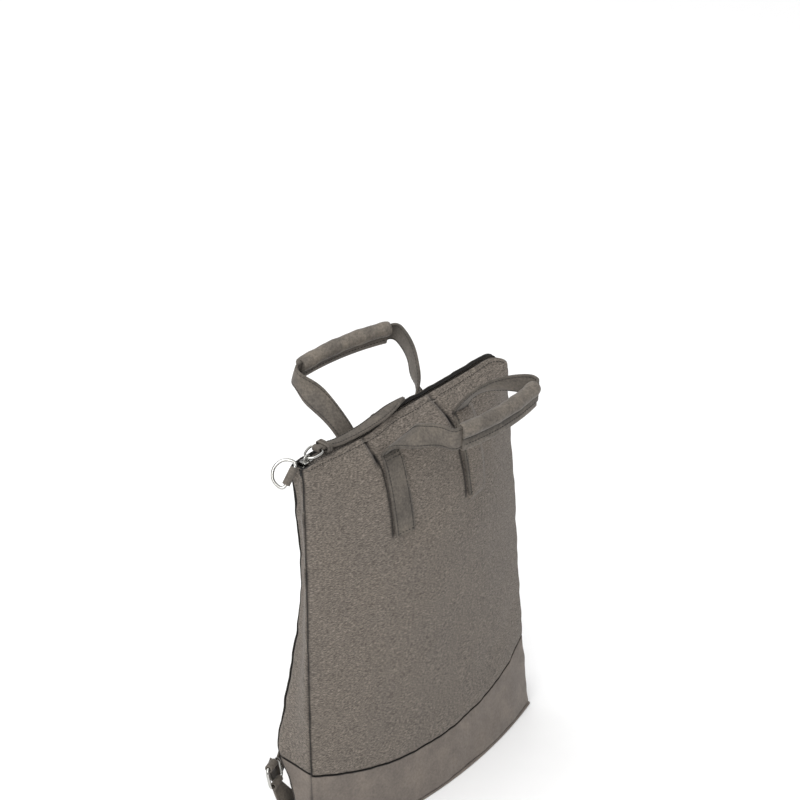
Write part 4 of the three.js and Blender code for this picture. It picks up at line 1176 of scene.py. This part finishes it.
class BACKPACK_OT_wings(bpy.types.Operator):
    """Makes the lower rings and the leather wings that hold them"""
    bl_idname = "backpack.wings"
    bl_label = "Lower rings and wings"

    def execute(self, context):
        line = ring_line(RING_INNER, RING_WIRE, LOWER_REACH, FLAT)
        wire = tube(line, RING_WIRE / 2)
        for name, side in (("left", -1), ("right", 1)):
            at, bar, up = lower_bar(side), mirrored(LOWER_BAR, side), mirrored(LOWER_UP, side)
            piece(f"{name}_strap_ring", (place(wire[0], at, up, bar), wire[1]), "metal", f"{name}_lower_ring")
            self.wing(name, side, at, up, bar)
        return {"FINISHED"}

    def wing(self, name, side, at, up, bar):
        left_bar = unit(LOWER_BAR)
        origin = lower_bar()

        def surface(a, b, depth):
            top = origin + left_bar * ((a[..., None] - 0.5) * WING_TOP)
            x = (-BASE_WIDTH / 2 + 1 + a * WING_RIGHT) * (1 - b) + top[..., 0] * b
            z = WING_LOW * (1 - b) + (LOWER_BAR_Z - EYE_RADIUS + 1) * b
            on = back_point(np.maximum(-1, x / (half_width(z) - inset(z))), z)[..., 1] + PAD
            y = on + (top[..., 1] - TAB_THICKNESS - on) * smooth(b) + depth * 2 * TAB_THICKNESS
            return np.stack([-side * x, y, z], axis=-1)

        a, b = np.meshgrid(np.linspace(0, 1, 41), np.linspace(0, 1, 51))
        edge = np.minimum(np.minimum(a, 1 - a) * 30, np.minimum(b, 1 - b + 0.06) * 55)
        rounded = 0.22 * np.clip(1 - edge / 1.2, 0, 1) ** 2
        channel = 0.08 * bump(edge, 2.4, 0.6)
        outer = surface(a, b, 1 - rounded - channel)
        inner = surface(a, b, rounded)
        rows, columns = a.shape
        count = rows * columns
        flip = side > 0
        faces = [list(f) for f in grid_faces(rows, columns, not flip)]
        faces += [[i + count for i in f] for f in grid_faces(rows, columns, flip)]
        index = np.arange(count).reshape(rows, columns)
        rim = np.concatenate([index[0, :-1], index[:-1, -1], index[-1, :0:-1], index[:0:-1, 0]])
        for k, i in enumerate(rim):
            j = rim[(k + 1) % len(rim)]
            quad = [i, j, j + count, i + count]
            faces.append(quad if not flip else quad[::-1])
        flat = (np.vstack([outer.reshape(-1, 3), inner.reshape(-1, 3)]), faces)
        band, _ = folded_tab(EYE_RADIUS + 1.5, WING_TOP, TAB_THICKNESS)
        points, faces = join_parts([flat, (place(band[0], at, up, bar), band[1])])
        piece(f"{name}_corner_wing", (points, faces), "trim", f"{name}_wing", sharp_angle=60)
        t = np.linspace(0.06, 0.94, 60)
        ones = np.ones(60)
        rows = []
        for a_line, b_line in ((0.09 * ones, t), (0.91 * ones, t), (t, 0.05 * ones)):
            line = surface(a_line, b_line, 0.94)
            rows.append(stitch_row(line, np.broadcast_to([0.0, 1.0, 0.0], line.shape), 3.0))
        piece(f"{name}_wing_stitches", join_parts(rows), "thread")


class BACKPACK_OT_shoulder_straps(bpy.types.Operator):
    """Hangs both shoulder straps behind the bag"""
    bl_idname = "backpack.shoulder_straps"
    bl_label = "Shoulder straps"

    def execute(self, context):
        pitch = context.scene.backpack_sizes.stitch_pitch
        for name, side in (("left", -1), ("right", 1)):
            up = unit(LOWER_UP)
            eye_at = lower_bar() + up * LOWER_REACH
            away = PAD + CARRY_THICKNESS / 2
            x = abs(BACK_RING_X) + (TAB_WIDTH + CARRY_WIDTH) / 2 + 1.5
            places = [on_back(-x, z * HEIGHT) + [0, away, 0] for z in CARRY_SEWN]
            places += [on_back(-sx * BASE_WIDTH / 2, sz * HEIGHT) + [0, away + behind, 0]
                       for sx, sz, behind in CARRY_PATH]
            places.append(eye_at + [0, RING_WIRE / 2 + BORE_CLEARANCE + CARRY_THICKNESS / 2, 0])
            path = spline(places, 150)
            t = np.linspace(0, 1, 151)[:, None]
            ring_face = unit(np.cross(up, LOWER_BAR))
            turned = smooth((t - 0.7) / 0.3)
            facing = np.array([0, 1.0, 0]) * (1 - turned) + ring_face * turned
            along = tangents(path)
            wide = unit(np.cross(facing, along))
            thick = np.cross(along, wide)
            width = CARRY_WIDTH + (EYE_WIDTH - CARRY_WIDTH) * smooth((t[:, 0] - 0.86) / 0.12)
            sections = np.stack([strap_section(w, CARRY_THICKNESS) for w in width])
            points, faces = sweep(sections, path, wide, thick)
            points = points * [-side, 1, 1]
            faces = faces if side < 0 else [f[::-1] for f in faces]
            band, _ = folded_tab(EYE_RADIUS + 0.2, EYE_WIDTH, CARRY_THICKNESS)
            eye = place(band[0], mirrored(eye_at, side), mirrored(LOWER_UP, side), mirrored(LOWER_BAR, side))
            points, faces = join_parts([(points, faces), (eye, band[1])])
            # the band's dark edge paint and painted shade in its stitch channels; none on the folded eye
            shade_and_edge_paint = np.tile(strap_shade_and_edge_paint(sections[0], CARRY_WIDTH, CARRY_THICKNESS), len(path))
            shade_and_edge_paint = np.concatenate([shade_and_edge_paint, np.zeros(len(eye))])
            piece(f"{name}_carry_strap", (points, faces), "trim", f"{name}_shoulder_strap", sharp_angle=60,
                  shade_and_edge_paint=shade_and_edge_paint)
            rows = []
            aside, above = width[:, None] / 2 - STITCH_INSET, CARRY_THICKNESS / 2 - STITCH_CHANNEL
            for w in (-1, 1):
                for k in (-1, 1):
                    line = path + wide * w * aside + thick * k * above
                    rows.append(stitch_row(line * [-side, 1, 1], thick * k * [-side, 1, 1], pitch))
            piece(f"{name}_carry_stitches", join_parts(rows), "thread")
        return {"FINISHED"}


# Zip

def zip_height(x):
    """The zip lies deeper where the walls close over it."""
    u = x / (TOP_WIDTH / 2)
    low, high = TUCK_LEFT
    closed = smooth((u - low) / (high - low) + 0.6)
    return top_line(u) - ZIP_SINK - (ZIP_SINK_CLOSED - ZIP_SINK) * closed


def zip_line(x):
    """Half way between the middle of the mouth and the middle of the room at the zip's own height."""
    u = x / (TOP_WIDTH / 2)
    heights = (HEIGHT, zip_height(x))
    return sum(front_point(u, z, 1)[..., 1] + back_point(u, z, 1)[..., 1] for z in heights) / 4


class BACKPACK_OT_zip(bpy.types.Operator):
    """Makes the zip's tapes, coil, slider, ring and leather pull"""
    bl_idname = "backpack.zip"
    bl_label = "Zip"

    def execute(self, context):
        half = TOP_WIDTH / 2 - TAPE_END
        x = np.linspace(-half, half, 161)
        u = x / (TOP_WIDTH / 2)
        middle, height = zip_line(x), zip_height(x)
        rim = height + TAPE_THICKNESS
        edges = {
            "front": (front_point(u, rim, 1)[:, 1] + GAP, middle - COIL_WIDTH / 2 - GAP),
            "back": (middle + COIL_WIDTH / 2 + GAP, back_point(u, rim, 1)[:, 1] - GAP),
        }
        pitch = context.scene.backpack_sizes.stitch_pitch
        for name, (low, high) in edges.items():
            at = np.stack([x, (low + high) / 2, height], axis=1)
            wide = np.broadcast_to([0.0, 1.0, 0.0], at.shape)
            wide, thick = framed(at, wide)
            width = high - low
            sections = np.stack([
                np.array([(w / 2, 0.0), (w / 2 - 0.2, 0.45), (w * 0.2, 0.5), (0, 0.55), (-w * 0.2, 0.5),
                          (-w / 2 + 0.2, 0.45), (-w / 2, 0.0), (-w / 2 + 0.2, -0.45), (w / 2 - 0.2, -0.45)])
                for w in width
            ])
            points, faces = sweep(sections, at, wide, thick)
            piece(f"zip_{name}_tape", (points, faces), "tape", f"zip_tape_{name}", sharp_angle=60)
            line = at + [0, 0, 0.52]
            row = stitch_row(line, np.broadcast_to([0.0, 0.0, 1.0], line.shape), pitch)
            piece(f"zip_{name}_stitches", row, "thread")
        self.coil(half)
        self.slider()
        self.pull()
        return {"FINISHED"}

    def coil(self, half):
        """Two rows of nylon turns that meet in the middle, 1.5 mm apart."""
        start = -TOP_WIDTH / 2 + SLIDER_FROM_END + 1
        places = np.arange(start + 1, half - 0.5, 1.5)
        parts = []
        angles = np.linspace(0, 2 * math.pi, 14, endpoint=False)
        for k, x in enumerate(places):
            side = 1 if k % 2 else -1
            centre = np.array([x, float(zip_line(x)) + side * 0.55, float(zip_height(x))])
            loop = np.stack([0.25 * np.sin(angles), 1.75 * np.cos(angles), 0.82 * np.sin(angles)], axis=1)
            parts.append(tube(loop + centre, 0.36, 6))
        cord = np.arange(start, half, 3.0)
        line = np.stack([cord, zip_line(cord), zip_height(cord) - 0.1], axis=1)
        wide, thick = framed(line, np.broadcast_to([0.0, 1.0, 0.0], line.shape))
        box = np.array([(2.0, -0.45), (2.0, 0.45), (-2.0, 0.45), (-2.0, -0.45)])
        parts.append(sweep(box, line, wide, thick))
        points, faces = join_parts(parts)
        piece("zip_teeth", (points, faces), "coil", "zip_coil")

    def slider(self):
        x = -TOP_WIDTH / 2 + SLIDER_FROM_END
        y, z = float(zip_line(x)), float(zip_height(x))
        top = SLIDER_HEIGHT / 2
        parts = [self.plate(x, y, z, top - PLATE, top), self.plate(x, y, z, -top, -top + PLATE)]
        parts.append(self.plate(x - SLIDER_LENGTH * 0.36, y, z, 0.5 - top, top - 0.5, 0.22, 0.3))
        wire = 0.8
        span = SLIDER_WIDTH / 2 - wire
        foot = z + top - 0.5
        arch = [(x - span * math.cos(a), y, z + top + 0.9 + (BAIL_HEIGHT - 1.7) * math.sin(a))
                for a in np.linspace(0, math.pi, 25)]
        line = resample(np.array([(x - span, y, foot), *arch, (x + span, y, foot)]), 48)
        parts.append(tube(line, wire, 10, closed=False))
        points, faces = join_parts(parts)
        piece("zip_runner", (points, faces), "metal", "zip_slider", sharp_angle=40)

    def plate(self, x, y, z, low, high, long=1.0, broad=1.0):
        """A wedge-shaped plate of the slider with softened rims."""
        outline = []
        for a in np.linspace(0, 2 * math.pi, 48, endpoint=False):
            c, s = math.cos(a), math.sin(a)
            px = abs(c) ** 0.45 * math.copysign(SLIDER_LENGTH / 2, c) * long
            py = abs(s) ** 0.6 * math.copysign(SLIDER_WIDTH / 2, s) * broad
            outline.append((px, py * (0.82 + 0.18 * (0.5 - px / SLIDER_LENGTH))))
        outline = np.array(outline)
        rows = []
        mid = (low + high) / 2
        thick = (high - low) / 2
        rounded = ((0.0, 1), (0.90, 1), (0.97, 0.8), (1.0, 0.3))
        for size, level in (*rounded, *((size, -level) for size, level in rounded[::-1])):
            rows.append(np.column_stack([x + outline[:, 0] * size, y + outline[:, 1] * size,
                                         np.full(48, z + mid + thick * level)]))
        faces = grid_closed(len(rows), 48)
        return np.vstack(rows), faces

    def pull(self):
        x = -TOP_WIDTH / 2 + SLIDER_FROM_END
        y, z = float(zip_line(x)), float(zip_height(x))
        top = z + SLIDER_HEIGHT / 2
        inside = top + BAIL_HEIGHT - 1.6 - GAP - PULL_RING_WIRE / 2
        along = np.array([math.cos(RING_LEAN), 0, math.sin(RING_LEAN)])
        eye = np.array([x, y, inside]) + along * PULL_RING_REACH
        wire = tube(ring_line(PULL_RING_INNER, PULL_RING_WIRE, PULL_RING_REACH, BOW), PULL_RING_WIRE / 2)
        piece("zip_ring", (place(wire[0], eye, -along, (0, 1, 0)), wire[1]), "metal", "zip_pull_ring")
        leaf_z = HEIGHT + PAD + PULL_THICKNESS
        eye_inner = PULL_RING_WIRE / 2 + GAP
        start = eye[0] + eye_inner + PULL_THICKNESS * 0.4
        shares = np.linspace(0, 1, 81)
        width, swerve = (np.convolve(np.pad(np.interp(shares, LEAF[:, 0], LEAF[:, k]), 3, mode="edge"),
                                     np.ones(7) / 7, mode="valid") * PULL_WIDTH for k in (1, 2))
        lifted = 2.6 * smooth(shares * 3 - 2)
        path = np.stack([
            start + shares * PULL_LENGTH,
            eye[1] + swerve,
            eye[2] + (leaf_z - eye[2]) * smooth(shares * 5) + 0.25 * np.sin(shares * 9) + lifted,
        ], axis=1)
        wide = np.broadcast_to([0.0, 1.0, 0.0], path.shape)
        wide, thick = framed(path, wide)
        sections = np.stack([
            strap_section(max(w, 2.4), 2 * PULL_THICKNESS, 0.25, 0.15, min(1.7, w * 0.2)) for w in width
        ])
        leaf = sweep(sections, path, wide, thick)
        radius = eye_inner + PULL_THICKNESS / 2
        arc = np.array([(eye[0] - radius * math.cos(a), eye[1], eye[2] + radius * math.sin(a))
                        for a in np.linspace(-2.5, 2.5, 31)])
        wide_arc, thick_arc = framed(arc, np.broadcast_to([0.0, 1.0, 0.0], arc.shape))
        band = strap_section(PULL_WIDTH * 0.6, PULL_THICKNESS, 0.15, 0.0, 1.3)
        loop = sweep(band, arc, wide_arc, thick_arc)
        points, faces = join_parts([leaf, loop])
        piece("zip_leaf", (points, faces), "trim", "zip_pull", sharp_angle=60)
        rows = []
        for w in (-1, 1):
            for k in (1, -1):
                line = path + wide * w * (width[:, None] / 2 - 1.7) + thick * k * (PULL_THICKNESS - 0.1)
                rows.append(stitch_row(line[4:-8], k * thick[4:-8], 3.0))
        piece("zip_leaf_stitches", join_parts(rows), "thread")
        self.keeper(eye, eye_inner, leaf_z)

    def keeper(self, eye, eye_inner, leaf_z):
        """The narrow leather band that holds the pull's two layers together."""
        x = eye[0] + eye_inner + PULL_THICKNESS + 5.4
        inside = (PULL_WIDTH * 0.86 + 2 * GAP, PULL_THICKNESS * 2 + 2 * GAP + 1.4)
        t = PULL_THICKNESS * 0.7
        z = eye[2] + (leaf_z - eye[2]) * float(smooth(5 * (x - eye[0]) / PULL_LENGTH))
        loop = []
        for a in np.linspace(0, 2 * math.pi, 64, endpoint=False):
            c, s = math.cos(a), math.sin(a)
            loop.append((x, eye[1] + math.copysign(abs(c) ** 0.35, c) * (inside[0] + t) / 2,
                         z + math.copysign(abs(s) ** 0.35, s) * (inside[1] + t) / 2))
        loop = np.array(loop)
        centre = loop.mean(axis=0)
        along = unit(np.roll(loop, -1, axis=0) - np.roll(loop, 1, axis=0))
        wide = np.broadcast_to([1.0, 0.0, 0.0], loop.shape)
        thick = np.cross(along, wide)
        thick = thick * np.sign(np.sum(thick * (loop - centre), axis=1, keepdims=True))
        points, faces = sweep(strap_section(6, t, 0.0, 0.0, 1.2), loop, wide, thick, closed=True)
        piece("zip_leaf_band", (points, faces), "trim", "zip_pull_keeper", sharp_angle=60)


def grid_closed(rows, columns):
    """Faces of rings stacked on each other, each ring closed."""
    index = np.arange(rows * columns).reshape(rows, columns)
    faces = []
    for r in range(rows - 1):
        for i in range(columns):
            j = (i + 1) % columns
            faces.append([index[r + 1, i], index[r + 1, j], index[r, j], index[r, i]])
    return faces


# Stage

class BACKPACK_OT_stage(bpy.types.Operator):
    """Sets the pale floor, the soft lights and the camera"""
    bl_idname = "backpack.stage"
    bl_label = "Stage"

    def execute(self, context):
        scene = context.scene
        scene.view_settings.view_transform = "Standard"
        corners = [(-6000, -6000, 0), (6000, -6000, 0), (6000, 6000, 0), (-6000, 6000, 0)]
        floor = mesh_object("paper_floor", corners, [[0, 1, 2, 3]], "paper")
        world = bpy.data.worlds.new("studio_air")
        world.use_nodes = True
        tree = world.node_tree
        tree.nodes["Background"].inputs["Color"].default_value = (1, 1, 1, 1)
        tree.nodes["Background"].inputs["Strength"].default_value = 0.9
        # mirror-like metal sees light and dark cards by height, so that its rims stand out from the white
        place = add_node(tree, "ShaderNodeTexCoord").outputs["Generated"]
        parts = add_node(tree, "ShaderNodeSeparateXYZ", links={"Vector": place})
        level = add_node(tree, "ShaderNodeMath", {"operation": "MULTIPLY_ADD"}, {1: 0.5, 2: 0.5},
                         {0: parts.outputs["Z"]})
        cards = add_node(tree, RAMP, links={"Fac": level.outputs[0]}, stops=[
            (0.5, [0.02, 0.02, 0.02, 1]), (0.62, [0.85, 0.85, 0.85, 1]), (0.74, [0.05, 0.05, 0.05, 1]),
            (0.88, [1, 1, 1, 1]),
        ])
        mirrored_air = add_node(tree, "ShaderNodeBackground", links={"Color": cards.outputs[0]})
        ray = add_node(tree, "ShaderNodeLightPath").outputs["Is Glossy Ray"]
        mixed = add_node(tree, "ShaderNodeMixShader", None, None, {
            0: ray, 1: tree.nodes["Background"].outputs[0], 2: mirrored_air.outputs[0]})
        tree.links.new(mixed.outputs[0], tree.nodes["World Output"].inputs["Surface"])
        scene.world = world
        for name, at, size, power in (
            ("key_softbox", (-2.2, -0.9, 2.1), 1.8, 49), ("fill_softbox", (1.9, -1.4, 1.6), 1.6, 0.5),
            ("top_softbox", (-0.6, 0.8, 2.8), 2.0, 24),
        ):
            light = bpy.data.lights.new(name, "AREA")
            light.energy = power
            light.size = size
            lamp = bpy.data.objects.new(name, light)
            scene.collection.objects.link(lamp)
            lamp.location = at
            target = Matrix.Translation((0, 0, 0.2)).translation
            lamp.rotation_euler = (target - lamp.location).to_track_quat("-Z", "Y").to_euler()
        data = bpy.data.cameras.new("camera")
        data.lens = 124.84
        data.sensor_width = 36
        data.clip_end = 100
        data.dof.use_dof = False
        camera = bpy.data.objects.new("camera", data)
        scene.collection.objects.link(camera)
        right = (0.66401, -0.74764, 0.01106)
        up = (0.37219, 0.34331, 0.86233)
        back = (-0.64852, -0.56848, 0.50622)
        turn = Matrix((right, up, back)).transposed().to_4x4()
        camera.matrix_world = Matrix.Translation((-1.6202, -1.4050, 1.6697)) @ turn
        scene.camera = camera
        return {"FINISHED"}


class BACKPACK_PT_panel(bpy.types.Panel):
    """Lists the pieces of the backpack"""
    bl_idname = "BACKPACK_PT_panel"
    bl_label = "Convertible Backpack"
    bl_space_type = "VIEW_3D"
    bl_region_type = "UI"
    bl_category = "Backpack"

    def draw(self, context):
        layout = self.layout
        for group in (context.scene.backpack_colours, context.scene.backpack_sizes):
            for key in group.bl_rna.properties.keys():
                if key not in {"rna_type", "name"}:
                    layout.prop(group, key)
        for operator in PIECES:
            layout.operator(operator.bl_idname)


PIECES = (
    BACKPACK_OT_walls, BACKPACK_OT_handles, BACKPACK_OT_rings, BACKPACK_OT_wings,
    BACKPACK_OT_shoulder_straps, BACKPACK_OT_zip, BACKPACK_OT_stage,
)
CLASSES = (BackpackColours, BackpackSizes, *PIECES, BACKPACK_PT_panel)


def register():
    for item in CLASSES:
        bpy.utils.register_class(item)
    bpy.types.Scene.backpack_colours = bpy.props.PointerProperty(type=BackpackColours)
    bpy.types.Scene.backpack_sizes = bpy.props.PointerProperty(type=BackpackSizes)


def unregister():
    del bpy.types.Scene.backpack_sizes
    del bpy.types.Scene.backpack_colours
    for item in reversed(CLASSES):
        bpy.utils.unregister_class(item)


def main():
    register()
    for operator in PIECES:
        group, name = operator.bl_idname.split(".")
        getattr(getattr(bpy.ops, group), name)()


if __name__ == "__main__":
    main()
